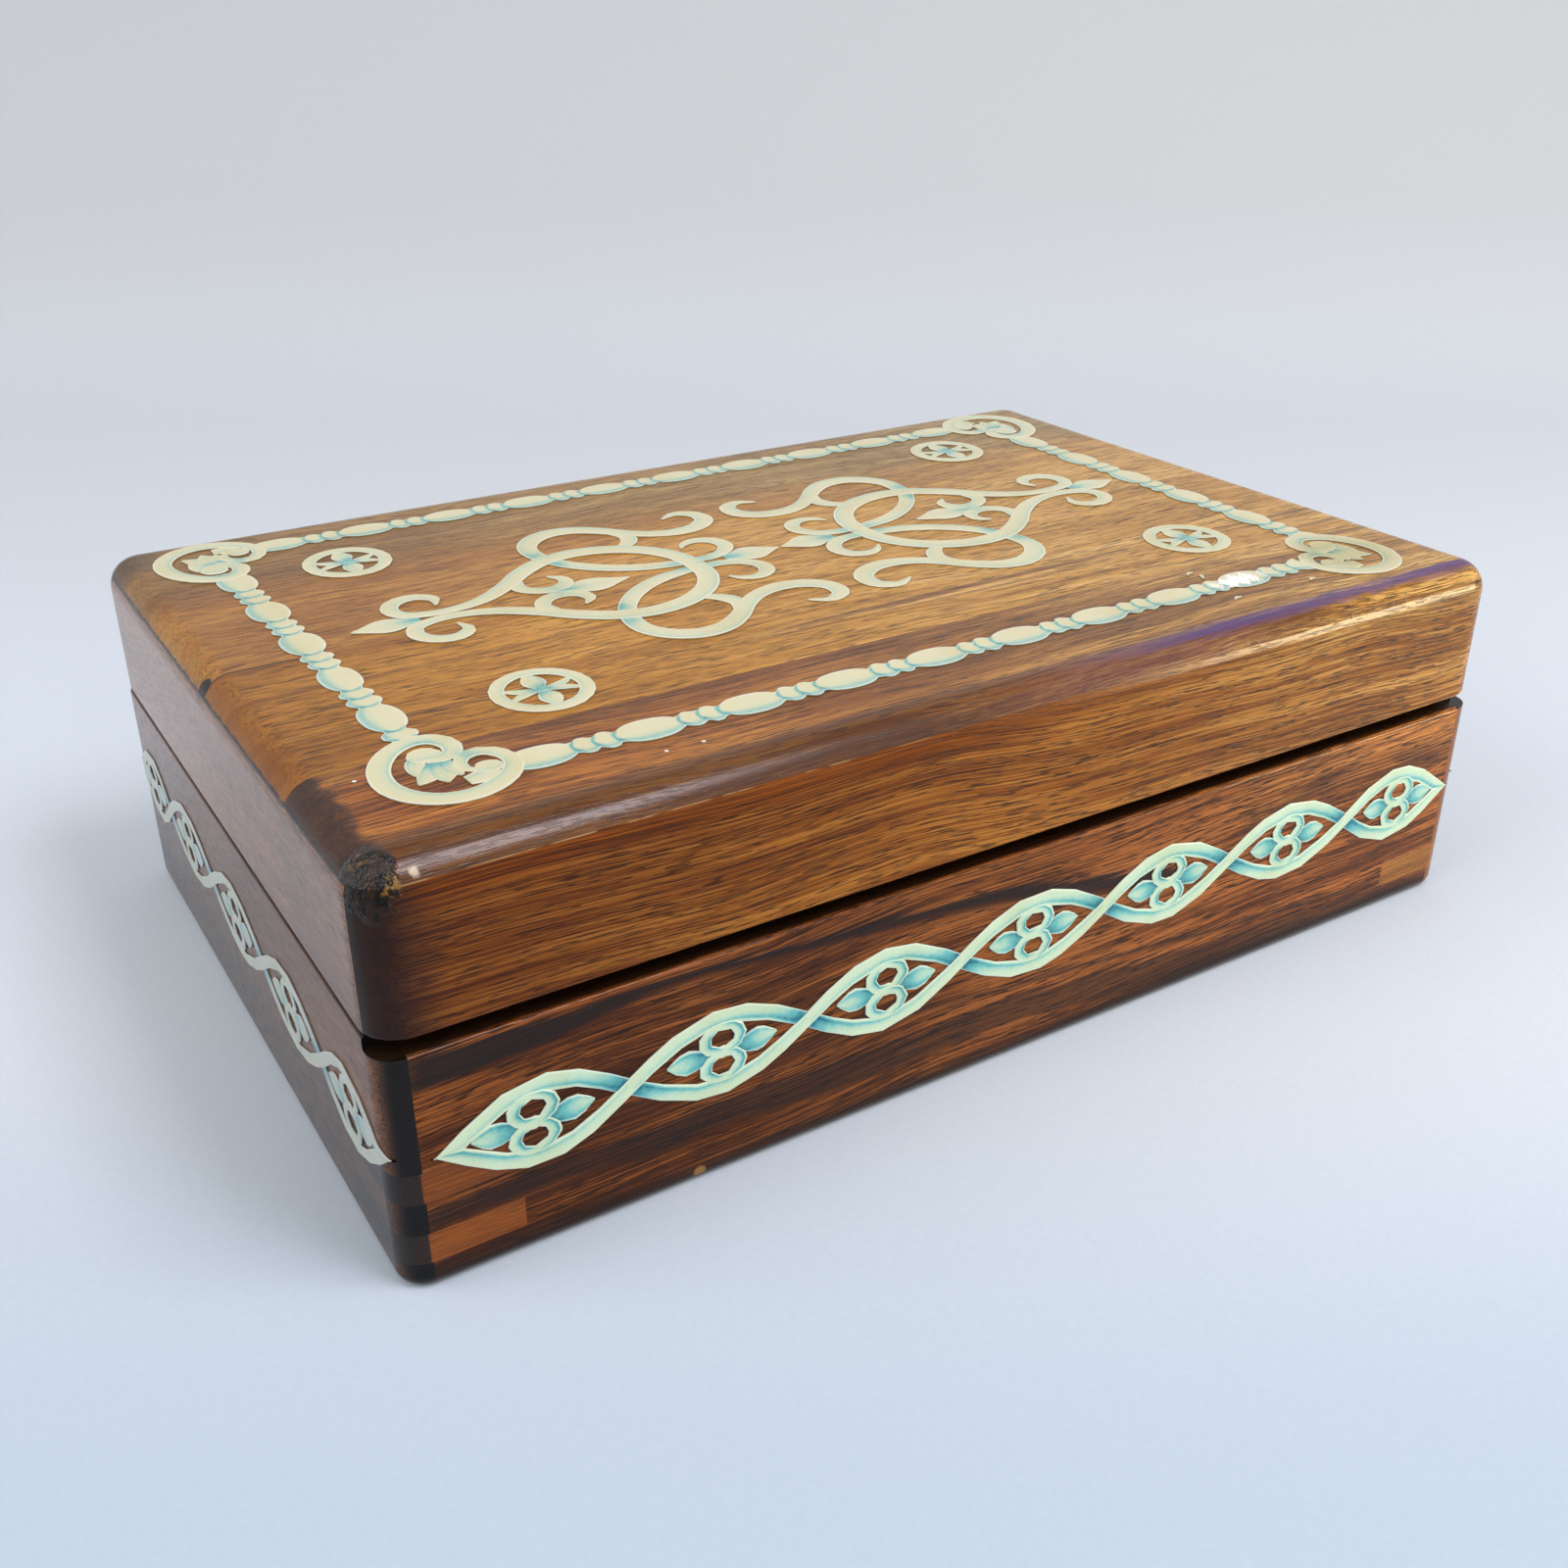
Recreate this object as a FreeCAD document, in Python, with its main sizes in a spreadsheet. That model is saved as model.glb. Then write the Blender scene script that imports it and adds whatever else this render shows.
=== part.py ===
import FreeCAD, Part
import math
import os
from FreeCAD import Placement, Rotation, Vector

# Hinged wooden box with paper ornament. Millimetres, X along the front, Y to the back, Z up.
# The origin is the middle of the underside.

doc = FreeCAD.newDocument("ornamented_box")
size = doc.addObject("Spreadsheet::Sheet", "size")

SIZES = {
    # the whole box
    "box_width": 200.0,
    "box_depth": 132.0,
    "box_height": 62.4,
    "wall": 9.0,
    "corner_lip": 4.0,
    # the base
    "base_height": 38.2,
    "front_height": 36.3,
    "gap_depth": 4.5,
    "base_corner_radius": 4.0,
    "foot_radius": 2.0,
    "edge_radius": 0.6,
    "bottom_thickness": 4.0,
    "bottom_rebate": 4.0,
    # light wood keys across the base corners
    "key_leg": 17.0,
    "key_height": 4.7,
    "low_key": 4.3,
    "high_key": 14.0,
    # the lid
    "lid_bottom": 38.6,
    "lid_corner_radius": 5.5,
    "top_radius": 5.0,
    "plank_thickness": 3.0,
    "front_plank_seam": -39.0,
    "back_plank_seam": 0.5,
    # the hinges
    "hinge_spread": 120.0,
    "hinge_length": 26.0,
    "knuckle_length": 8.6,
    "knuckle_gap": 0.4,
    "knuckle_radius": 1.9,
    "pin_radius": 0.8,
    "pin_clearance": 0.04,
    "pin_offset": 2.25,
    "leaf_width": 7.4,
    "leaf_thickness": 1.0,
    "screw_spread": 16.0,
    "screw_inset": 3.8,
    "screw_radius": 0.8,
    "screw_head_radius": 1.7,
    "screw_head_height": 0.9,
    "screw_length": 8.0,
    "screw_clearance": 0.05,
    # the paper ornament
    "paper": 0.35,
}
for row, (alias, value) in enumerate(SIZES.items(), 1):
    size.set(f"A{row}", alias)
    size.set(f"B{row}", str(value))
    size.setAlias(f"B{row}", alias)
doc.recompute()

WIDTH = "size.box_width"
DEPTH = "size.box_depth"
WALL = "size.wall"
LIP = "size.corner_lip"
BASE_TOP = "size.base_height"
LID_LOW = "size.lid_bottom"
PLANK_LOW = "size.box_height - size.plank_thickness"

nodes = []


def node(label, piece):
    """Keep a finished piece under the name of its file."""
    piece.Label = label
    nodes.append(piece)
    return piece


def place(piece, x, y, z):
    """Bind a piece's position to expressions."""
    for axis, value in zip("xyz", (x, y, z)):
        piece.setExpression(f"Placement.Base.{axis}", value)


def block(name, x, y, z):
    """Rectangular block between a low and a high expression along each axis."""
    box = doc.addObject("Part::Box", name)
    for side, (low, high) in zip(("Length", "Width", "Height"), (x, y, z)):
        box.setExpression(side, f"({high}) - ({low})")
    place(box, x[0], y[0], z[0])
    return box


def rod(name, radius, x, y, z):
    """Round bar along X, between a low and a high expression."""
    bar = doc.addObject("Part::Cylinder", name)
    bar.Placement = Placement(Vector(), Rotation(Vector(0, 1, 0), 90))
    bar.setExpression("Radius", radius)
    bar.setExpression("Height", f"({x[1]}) - ({x[0]})")
    place(bar, x[0], y, z)
    return bar


def joined(name, pieces):
    """Several pieces as one solid."""
    whole = doc.addObject("Part::MultiFuse", name)
    whole.Shapes = pieces
    whole.Refine = True
    return whole


def group(name, pieces):
    """Several separate solids that share one name."""
    whole = doc.addObject("Part::Compound", name)
    whole.Links = pieces
    return whole


def cut(name, piece, tools):
    """A piece with each tool taken out of it."""
    for count, tool in enumerate(tools, 1):
        less = doc.addObject("Part::Cut", f"{name}_cut_{count}")
        less.Base = piece
        less.Tool = tool
        piece = less
    return piece


def within(name, piece, outline):
    """The part of a piece that lies inside a rounded outline."""
    kept = doc.addObject("Part::Common", name)
    kept.Base = piece
    kept.Tool = outline
    return kept


def rounded(name, piece, radius, chosen):
    """A piece with the chosen edges rounded."""
    doc.recompute()
    fillet = doc.addObject("Part::Fillet", name)
    fillet.Base = piece
    edges = enumerate(piece.Shape.Edges, 1)
    fillet.Edges = [(number, radius, radius) for number, edge in edges if chosen(edge.BoundBox)]
    return fillet


def upright(bounds):
    return bounds.ZLength > 5 and bounds.XLength < 0.01 and bounds.YLength < 0.01


def level_at(height):
    """Chooses the edges that lie flat at one height."""
    return lambda bounds: abs(bounds.ZMin - height) < 0.01 and abs(bounds.ZMax - height) < 0.01


# Rounded outer forms: every board is cut to one of these

base_block = block(
    "base_block",
    (f"-{WIDTH} / 2", f"{WIDTH} / 2"),
    (f"-{DEPTH} / 2", f"{DEPTH} / 2"),
    ("0", BASE_TOP),
)
base_corners = rounded("base_corners", base_block, size.base_corner_radius, upright)
base_foot = rounded("base_foot", base_corners, size.foot_radius, level_at(0))
base_form = rounded("base_form", base_foot, size.edge_radius, level_at(size.base_height))

lid_block = block(
    "lid_block",
    (f"-{WIDTH} / 2", f"{WIDTH} / 2"),
    (f"-{DEPTH} / 2", f"{DEPTH} / 2"),
    (LID_LOW, "size.box_height"),
)
lid_corners = rounded("lid_corners", lid_block, size.lid_corner_radius, upright)
lid_crown = rounded("lid_crown", lid_corners, size.top_radius, level_at(size.box_height))
lid_form = rounded("lid_form", lid_crown, size.edge_radius, level_at(size.lid_bottom))

# Light wood keys: flat triangles let in across the base corners


def key_block(name, turn, x_side, y_side, height):
    """Block turned to lie across a corner; its inner face is the long side of the triangle."""
    key = doc.addObject("Part::Box", name)
    key.Placement = Placement(Vector(), Rotation(Vector(0, 0, 1), turn))
    key.setExpression("Length", "size.key_leg * sqrt(2)")
    key.setExpression("Width", "size.key_leg / sqrt(2)")
    key.setExpression("Height", "size.key_height")
    outward = {-45: (-1, 1), 45: (-1, -1), 135: (1, -1), 225: (1, 1)}[turn]
    place(
        key,
        f"{x_side} * {WIDTH} / 2 + {outward[0]} * size.key_leg / 2",
        f"{y_side} * {DEPTH} / 2 + {outward[1]} * size.key_leg / 2",
        height,
    )
    return key


KEYS = {
    "front_left": (-45, -1, -1, "size.low_key"),
    "front_right": (45, 1, -1, "size.low_key"),
    "back_right": (135, 1, 1, "size.low_key"),
    "back_left": (225, -1, 1, "size.low_key"),
    "upper_front_left": (-45, -1, -1, "size.high_key"),
}
key_blocks = {name: key_block(f"key_block_{name}", *spot) for name, spot in KEYS.items()}
keys = [within(f"key_{name}", key, base_form) for name, key in key_blocks.items()]
node("base_corner_keys", group("corner_keys", keys))

# Base: side boards run the full depth and lap over the ends of the front and back boards

rebate = block(
    "bottom_rebate",
    (f"-{WIDTH} / 2 + {WALL} - size.bottom_rebate", f"{WIDTH} / 2 - {WALL} + size.bottom_rebate"),
    (f"-{DEPTH} / 2 + {WALL} - size.bottom_rebate", f"{DEPTH} / 2 - {WALL} + size.bottom_rebate"),
    ("0", "size.bottom_thickness"),
)
finger_gap = block(
    "finger_gap",
    (f"-{WIDTH} / 2", f"{WIDTH} / 2"),
    (f"-{DEPTH} / 2", f"-{DEPTH} / 2 + size.gap_depth"),
    ("size.front_height", BASE_TOP),
)


def base_side_board(side, sign):
    outer = (f"{WIDTH} / 2 - {LIP}", f"{WIDTH} / 2")
    inner = (f"{WIDTH} / 2 - {WALL}", f"{WIDTH} / 2 - {LIP}")
    if sign < 0:
        outer = (f"-{WIDTH} / 2", f"-{WIDTH} / 2 + {LIP}")
        inner = (f"-{WIDTH} / 2 + {LIP}", f"-{WIDTH} / 2 + {WALL}")
    lip = block(f"base_{side}_lip", outer, (f"-{DEPTH} / 2", f"{DEPTH} / 2"), ("0", BASE_TOP))
    body = block(
        f"base_{side}_body",
        inner,
        (f"-{DEPTH} / 2 + {WALL}", f"{DEPTH} / 2 - {WALL}"),
        ("0", BASE_TOP),
    )
    board = joined(f"base_{side}_blank", [lip, body])
    board = within(f"base_{side}_rounded", board, base_form)
    tools = [rebate, finger_gap] + [key for name, key in key_blocks.items() if side in name]
    return node(f"base_{side}_board", cut(f"base_{side}", board, tools))


base_side_board("left", -1)
base_side_board("right", 1)

front_blank = block(
    "base_front_blank",
    (f"-{WIDTH} / 2 + {LIP}", f"{WIDTH} / 2 - {LIP}"),
    (f"-{DEPTH} / 2", f"-{DEPTH} / 2 + {WALL}"),
    ("0", "size.front_height"),
)
front_board = within("base_front_rounded", front_blank, base_form)
front_tools = [rebate] + [key for name, key in key_blocks.items() if "front" in name]
front_board = cut("base_front", front_board, front_tools)
front_face = -size.box_depth / 2


def front_top_edge(bounds):
    """Chooses the long edge along the top of the front face."""
    at_top = bounds.ZMin > size.front_height - 0.01
    in_face = bounds.YMax < front_face + 0.01
    return bounds.XLength > 150 and at_top and in_face


node("base_front_board", rounded("base_front_edge", front_board, size.edge_radius, front_top_edge))

bottom = block(
    "bottom_panel",
    (f"-{WIDTH} / 2 + {WALL} - size.bottom_rebate", f"{WIDTH} / 2 - {WALL} + size.bottom_rebate"),
    (f"-{DEPTH} / 2 + {WALL} - size.bottom_rebate", f"{DEPTH} / 2 - {WALL} + size.bottom_rebate"),
    ("0", "size.bottom_thickness"),
)
node("base_bottom_panel", bottom)

# Hinges: two brass butt hinges let into the back boards, barrels just behind the back face

BACK = f"{DEPTH} / 2"
PIN_Y = f"{DEPTH} / 2 + size.pin_offset"
PIN_Z = f"({BASE_TOP} + {LID_LOW}) / 2"
LEAF_Y = (f"{BACK} - size.leaf_width", BACK)
TAB_Y = (BACK, PIN_Y)
SCREW_Y = f"{BACK} - size.screw_inset"
LEAF_Z = {
    "base": (f"{BASE_TOP} - size.leaf_thickness", BASE_TOP),
    "lid": (LID_LOW, f"{LID_LOW} + size.leaf_thickness"),
}
FACE_Z = {"base": BASE_TOP, "lid": LID_LOW}


def screw_form(name, body, x, extra):
    """Countersunk wood screw, or its hole if extra is more than nothing."""
    down = Rotation(Vector(1, 0, 0), 180 if body == "base" else 0)
    head = doc.addObject("Part::Cone", f"{name}_head")
    head.Placement = Placement(Vector(), down)
    head.setExpression("Radius1", f"size.screw_head_radius + {extra}")
    head.setExpression("Radius2", f"size.screw_radius + {extra}")
    head.setExpression("Height", "size.screw_head_height")
    shank = doc.addObject("Part::Cylinder", f"{name}_shank")
    shank.Placement = Placement(Vector(), down)
    shank.setExpression("Radius", f"size.screw_radius + {extra}")
    shank.setExpression("Height", f"size.screw_length + {extra}")
    for piece in (head, shank):
        place(piece, x, SCREW_Y, FACE_Z[body])
    return joined(name, [head, shank])


def screw(name, body, x):
    """Screw with a slot across its head."""
    slot_z = {
        "base": (f"{BASE_TOP} - 0.4", f"{BASE_TOP} + 0.1"),
        "lid": (f"{LID_LOW} - 0.1", f"{LID_LOW} + 0.4"),
    }[body]
    slot = block(
        f"{name}_slot",
        (f"{x} - 2", f"{x} + 2"),
        (f"{SCREW_Y} - 0.25", f"{SCREW_Y} + 0.25"),
        slot_z,
    )
    return cut(name, screw_form(f"{name}_form", body, x, "0"), [slot])


def hinge_leaf(name, body, middle, spans, bore, holes):
    """Flat leaf with its share of the barrel."""
    ends = (f"{middle} - size.hinge_length / 2", f"{middle} + size.hinge_length / 2")
    pieces = [block(f"{name}_plate", ends, LEAF_Y, LEAF_Z[body])]
    for count, span in enumerate(spans, 1):
        pieces.append(block(f"{name}_tab_{count}", span, TAB_Y, LEAF_Z[body]))
        pieces.append(rod(f"{name}_knuckle_{count}", "size.knuckle_radius", span, PIN_Y, PIN_Z))
    return cut(name, joined(f"{name}_blank", pieces), [bore] + holes)


screws = {"base": [], "lid": []}
sockets = {"base": [], "lid": []}
for side, sign in (("left", -1), ("right", 1)):
    middle = f"({sign} * size.hinge_spread / 2)"
    ends = (f"{middle} - size.hinge_length / 2", f"{middle} + size.hinge_length / 2")
    bore = rod(f"hinge_{side}_bore", "size.pin_radius + size.pin_clearance", ends, PIN_Y, PIN_Z)
    first = f"{ends[0]} + size.knuckle_length"
    last = f"{ends[1]} - size.knuckle_length"
    spans = {
        "base": [(ends[0], first), (last, ends[1])],
        "lid": [(f"{first} + size.knuckle_gap", f"{last} - size.knuckle_gap")],
    }
    for body in ("base", "lid"):
        holes = []
        for mark, step in (("a", -1), ("b", 1)):
            name = f"{body}_{side}_{mark}"
            x = f"({middle} + {step} * size.screw_spread / 2)"
            holes.append(screw_form(f"screw_hole_{name}", body, x, "size.screw_clearance"))
            screws[body].append(screw(f"screw_{name}", body, x))
        leaf = hinge_leaf(f"leaf_{body}_{side}", body, middle, spans[body], bore, holes)
        node(f"hinge_{side}_{body}_leaf", leaf)
        sockets[body].append(block(f"leaf_pocket_{body}_{side}", ends, LEAF_Y, LEAF_Z[body]))
        sockets[body] += holes
    node(f"hinge_{side}_pin", rod(f"pin_{side}", "size.pin_radius", ends, PIN_Y, PIN_Z))
node("hinge_base_screws", group("base_screws", screws["base"]))
node("hinge_lid_screws", group("lid_screws", screws["lid"]))

back_blank = block(
    "base_back_blank",
    (f"-{WIDTH} / 2 + {LIP}", f"{WIDTH} / 2 - {LIP}"),
    (f"{DEPTH} / 2 - {WALL}", f"{DEPTH} / 2"),
    ("0", BASE_TOP),
)
back_board = within("base_back_rounded", back_blank, base_form)
back_tools = [rebate] + sockets["base"] + [key for name, key in key_blocks.items() if "back" in name]
node("base_back_board", cut("base_back", back_board, back_tools))

# Lid: front and back boards run the full width and lap over the ends of the side boards

LID_RIM = (LID_LOW, PLANK_LOW)


def lid_end_board(side, sign):
    """Front or back board of the lid rim: a full-width face with a narrower body behind it."""
    faces = (f"{DEPTH} / 2 - {LIP}", f"{DEPTH} / 2")
    bodies = (f"{DEPTH} / 2 - {WALL}", f"{DEPTH} / 2 - {LIP}")
    if sign < 0:
        faces = (f"-{DEPTH} / 2", f"-{DEPTH} / 2 + {LIP}")
        bodies = (f"-{DEPTH} / 2 + {LIP}", f"-{DEPTH} / 2 + {WALL}")
    face = block(f"lid_{side}_face", (f"-{WIDTH} / 2", f"{WIDTH} / 2"), faces, LID_RIM)
    body = block(
        f"lid_{side}_body",
        (f"-{WIDTH} / 2 + {WALL}", f"{WIDTH} / 2 - {WALL}"),
        bodies,
        LID_RIM,
    )
    board = joined(f"lid_{side}_blank", [face, body])
    return within(f"lid_{side}_rounded", board, lid_form)


node("lid_front_board", lid_end_board("front", -1))
node("lid_back_board", cut("lid_back", lid_end_board("back", 1), sockets["lid"]))

SIDE_Y = (f"-{DEPTH} / 2 + {LIP}", f"{DEPTH} / 2 - {LIP}")
lid_left = block("lid_left_blank", (f"-{WIDTH} / 2", f"-{WIDTH} / 2 + {WALL}"), SIDE_Y, LID_RIM)
lid_right = block("lid_right_blank", (f"{WIDTH} / 2 - {WALL}", f"{WIDTH} / 2"), SIDE_Y, LID_RIM)
node("lid_left_board", within("lid_left_rounded", lid_left, lid_form))
node("lid_right_board", within("lid_right_rounded", lid_right, lid_form))

# Lid top: three planks glued edge to edge over the rim

PLANKS = {
    "front": (f"-{DEPTH} / 2", "size.front_plank_seam"),
    "middle": ("size.front_plank_seam", "size.back_plank_seam"),
    "back": ("size.back_plank_seam", f"{DEPTH} / 2"),
}
for name, y in PLANKS.items():
    x = (f"-{WIDTH} / 2", f"{WIDTH} / 2")
    plank = block(f"plank_{name}", x, y, (PLANK_LOW, "size.box_height"))
    node(f"lid_top_{name}_plank", within(f"plank_{name}_rounded", plank, lid_form))

# Flat outlines for the paper ornament


def face_of(edges):
    return Part.Face(Part.Wire(edges))


def disc(u, v, radius):
    return face_of([Part.makeCircle(radius, Vector(u, v, 0))])


def ring(u, v, outer, inner):
    return disc(u, v, outer).cut(disc(u, v, inner)).Faces[0]


def oval(u, v, half_length, half_height):
    """Oval lying along U or standing along V."""
    centre = Vector(u, v, 0)
    right = Vector(u + half_length, v, 0)
    top = Vector(u, v + half_height, 0)
    left = Vector(u - half_length, v, 0)
    if half_length >= half_height:
        curve = Part.Ellipse(right, top, centre)
    else:
        curve = Part.Ellipse(top, left, centre)
    return face_of([curve.toShape()])


def slab(u0, u1, v0, v1):
    return Part.makePlane(u1 - u0, v1 - v0, Vector(u0, v0, 0))


def lens(start, end, rise):
    """Pointed leaf between two points, as high on each side as the rise."""
    a = Vector(*start, 0)
    b = Vector(*end, 0)
    along = (b - a).normalize()
    across = Vector(-along.y, along.x, 0) * rise
    middle = (a + b) * 0.5
    upper = Part.Arc(a, middle + across, b).toShape()
    lower = Part.Arc(b, middle - across, a).toShape()
    return face_of([upper, lower])


def bud(base, shoulder, tip, half_base, half_width):
    """Flower bud on the U axis: swells from its base to its shoulder, then sweeps in to a point."""
    start = Vector(base, half_base, 0)
    wide = Vector(shoulder, half_width, 0)
    point = Vector(tip, 0, 0)
    sweep = Vector((shoulder + 2 * tip) / 3, half_width * 0.24, 0)
    edges = []
    for sign in (1, -1):
        points = [Vector(p.x, sign * p.y, 0) for p in (start, wide, sweep, point)]
        side = Part.BSplineCurve()
        side.interpolate(points)
        edges.append(side.toShape())
    edges.append(Part.makeLine(Vector(base, half_base, 0), Vector(base, -half_base, 0)))
    return face_of(Part.__sortEdges__(edges))


def ribbon(points, widths):
    """Band along a smooth line through the points, with the width given at each point."""
    line = Part.BSplineCurve()
    line.interpolate([Vector(u, v, 0) for u, v in points])
    stops = [line.parameter(Vector(u, v, 0)) for u, v in points]
    left = []
    right = []
    steps = 3
    for count in range((len(points) - 1) * steps + 1):
        span = min(count // steps, len(points) - 2)
        share = count / steps - span
        at = stops[span] + share * (stops[span + 1] - stops[span])
        half = (widths[span] + share * (widths[span + 1] - widths[span])) / 2
        tangent = line.tangent(at)[0]
        across = Vector(-tangent.y, tangent.x, 0) * half
        left.append(line.value(at) + across)
        right.append(line.value(at) - across)
    sides = []
    for row in (left, right):
        side = Part.BSplineCurve()
        side.interpolate(row)
        sides.append(side.toShape())
    ends = [Part.makeLine(left[0], right[0]), Part.makeLine(left[-1], right[-1])]
    return face_of(Part.__sortEdges__(sides + ends))


def thick(faces, height):
    """Flat outlines given a thickness and joined into one solid."""
    solids = [face.extrude(Vector(0, 0, height)) for face in faces]
    whole = solids[0].multiFuse(solids[1:]) if len(solids) > 1 else solids[0]
    return whole.removeSplitter()


def mirrored(face):
    return face.mirror(Vector(0, 0, 0), Vector(0, 1, 0))


def paper_piece(label, shape):
    piece = doc.addObject("Part::Feature", label)
    piece.Shape = shape
    return node(label, piece)


def on_top(faces):
    """Flat outlines as one paper cut-out lying on the lid."""
    solid = thick(faces, size.paper)
    solid.translate(Vector(0, 0, size.box_height))
    return solid


# Ribbon ornament of the base: two strands that cross, with a four-part flower in every loop

LOOP_RISE = 7.0
LOOP_EYE = 4.6
CROSS_REACH = 1.6
EYE_INSET = 3.6


def ribbon_ornament(crossings, v, height):
    """Row of loops between the crossings, as a solid of the given height."""
    loops = list(zip(crossings, crossings[1:]))
    last = len(loops) - 1
    outers = []
    eyes = []
    flowers = []
    holes = []
    up = Vector(0, 0, height)
    for count, (u0, u1) in enumerate(loops):
        start = u0 if count == 0 else u0 - CROSS_REACH
        end = u1 if count == last else u1 + CROSS_REACH
        outers.append(lens((start, v), (end, v), LOOP_RISE))
        eyes.append(lens((u0 + EYE_INSET, v), (u1 - EYE_INSET, v), LOOP_EYE))
        middle = (u0 + u1) / 2
        for sign in (1, -1):
            flowers.append(disc(middle, v + sign * 2.75, 3.5))
            flowers.append(lens((middle + sign * 1.0, v), (middle + sign * 8.3, v), 1.9))
            holes.append(disc(middle, v + sign * 2.75, 1.75))
    strands = thick(outers, height).cut(Part.makeCompound([eye.extrude(up) for eye in eyes]))
    whole = strands.fuse(thick(flowers, height))
    return whole.cut(Part.makeCompound([hole.extrude(up) for hole in holes])).removeSplitter()


def base_skin():
    """Thin layer around the upright faces of the base, where the paper lies."""
    plain = []
    for grow in (size.paper, 0):
        width = size.box_width + 2 * grow
        depth = size.box_depth + 2 * grow
        slug = Part.makeBox(width, depth, 30, Vector(-width / 2, -depth / 2, 4))
        corners = [edge for edge in slug.Edges if upright(edge.BoundBox)]
        plain.append(slug.makeFillet(size.base_corner_radius + grow, corners))
    return plain[0].cut(plain[1])


SKIN = base_skin()
FRONT_CROSSINGS = (-94.7, -67.2, -39.2, -12.5, 15.6, 42.2, 70.2, 97.0)
SIDE_CROSSINGS = (-65.0, -40.0, -12.5, 15.5, 43.0, 65.4)
WRAP = 5.0


def on_wall(label, crossings, v, turn, reach):
    """Ribbon ornament on an upright face: stood up, turned to its wall and wrapped round the corners."""
    prism = ribbon_ornament(crossings, v, WRAP + 2)
    prism.rotate(Vector(0, 0, 0), Vector(1, 0, 0), 90)
    prism.translate(Vector(0, WRAP - reach, 0))
    prism.rotate(Vector(0, 0, 0), Vector(0, 0, 1), turn)
    return paper_piece(label, prism.common(SKIN))


half_depth = size.box_depth / 2
half_width = size.box_width / 2
mirrored_sides = tuple(-u for u in reversed(SIDE_CROSSINGS))
mirrored_front = tuple(-u for u in reversed(FRONT_CROSSINGS))
on_wall("ribbon_front", FRONT_CROSSINGS, 21.2, 0, half_depth)
on_wall("ribbon_back", mirrored_front, 21.2, 180, half_depth)
on_wall("ribbon_left", mirrored_sides, 22.0, -90, half_width)
on_wall("ribbon_right", SIDE_CROSSINGS, 22.0, 90, half_width)

# Central scroll: drawn as the upper half of one side, U outwards from the middle, V across

SCROLL_CENTRE = Vector(0.8, 5.6, 0)
STEM = [
    (61.1, 4.6), (60.4, 7.6), (63.0, 9.9), (66.3, 9.2), (68.2, 6.2), (67.3, 3.1), (63.8, 1.5),
    (58.8, 1.4), (53.8, 3.0), (48.8, 6.4), (43.8, 11.2), (38.8, 14.6), (32.8, 16.0),
    (25.8, 14.5), (20.5, 10.6), (17.6, 5.4), (16.9, 0.0), (17.4, -3.0),
]
STEM_WIDTHS = [0.4, 2.0, 2.6, 2.8, 2.8, 2.6, 2.3, 2.3, 2.8, 3.2, 3.5, 3.6] + [3.7] * 6
SIDE_LOOP = [
    (18.6, 1.8), (24.8, 3.2), (29.8, 5.8), (33.8, 9.4), (36.4, 13.4), (37.8, 17.9), (37.8, 21.9),
    (35.6, 25.8), (31.3, 28.2), (26.8, 27.7), (22.8, 25.0), (19.4, 21.4), (15.8, 18.5),
    (11.3, 17.0), (6.5, 17.8), (3.4, 20.9), (3.6, 24.5), (6.6, 26.4), (10.0, 24.8),
]
SIDE_LOOP_WIDTHS = [
    2.6, 3.0, 3.0, 3.0, 3.0, 3.2, 3.4, 3.7, 3.8, 3.6, 3.3, 3.0, 3.0, 3.3, 3.5, 3.4, 3.0, 2.0, 0.4,
]
LOOP_TIE = [(21.6, 23.0), (19.9, 19.2), (21.2, 16.2), (23.6, 14.4)]
LOOP_TIE_WIDTHS = [1.6, 3.0, 2.8, 1.6]
INNER_CURL = [(46.3, 7.6), (46.8, 4.4), (44.8, 2.0), (41.9, 1.4), (39.4, 2.8), (38.9, 5.2), (40.7, 7.4)]
INNER_CURL_WIDTHS = [2.4, 2.6, 2.6, 2.7, 2.6, 2.0, 0.4]
TIP_CURL = [
    (15.6, 1.7), (12.3, 1.9), (9.2, 3.4), (7.5, 6.5), (8.4, 9.5), (11.2, 10.9), (13.8, 9.9), (15.0, 8.3),
]
TIP_CURL_WIDTHS = [2.2, 2.4, 2.6, 2.8, 2.7, 2.1, 1.3, 0.4]


def scroll_half():
    """One side of the central scroll, pointing along +U."""
    upper = [
        ribbon(STEM, STEM_WIDTHS),
        ribbon(SIDE_LOOP, SIDE_LOOP_WIDTHS),
        ribbon(LOOP_TIE, LOOP_TIE_WIDTHS),
        ribbon(INNER_CURL, INNER_CURL_WIDTHS),
        ribbon(TIP_CURL, TIP_CURL_WIDTHS),
    ]
    buds = [
        bud(42.0, 37.0, 29.3, 0.9, 3.0),
        bud(11.0, 5.8, 0.3, 0.9, 3.2),
        bud(65.5, 70.0, 76.4, 0.9, 2.9),
    ]
    return on_top(upper + [mirrored(face) for face in upper] + buds)


half = scroll_half()
paper_piece("scroll_right", half.translated(SCROLL_CENTRE))
paper_piece("scroll_left", half.mirror(Vector(0, 0, 0), Vector(1, 0, 0)).translated(SCROLL_CENTRE))

# Star medallions: a ring with six petals

MEDALLIONS = [(-60.0, -29.5), (63.6, -28.8), (-65.4, 38.0), (62.6, 39.6)]


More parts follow.
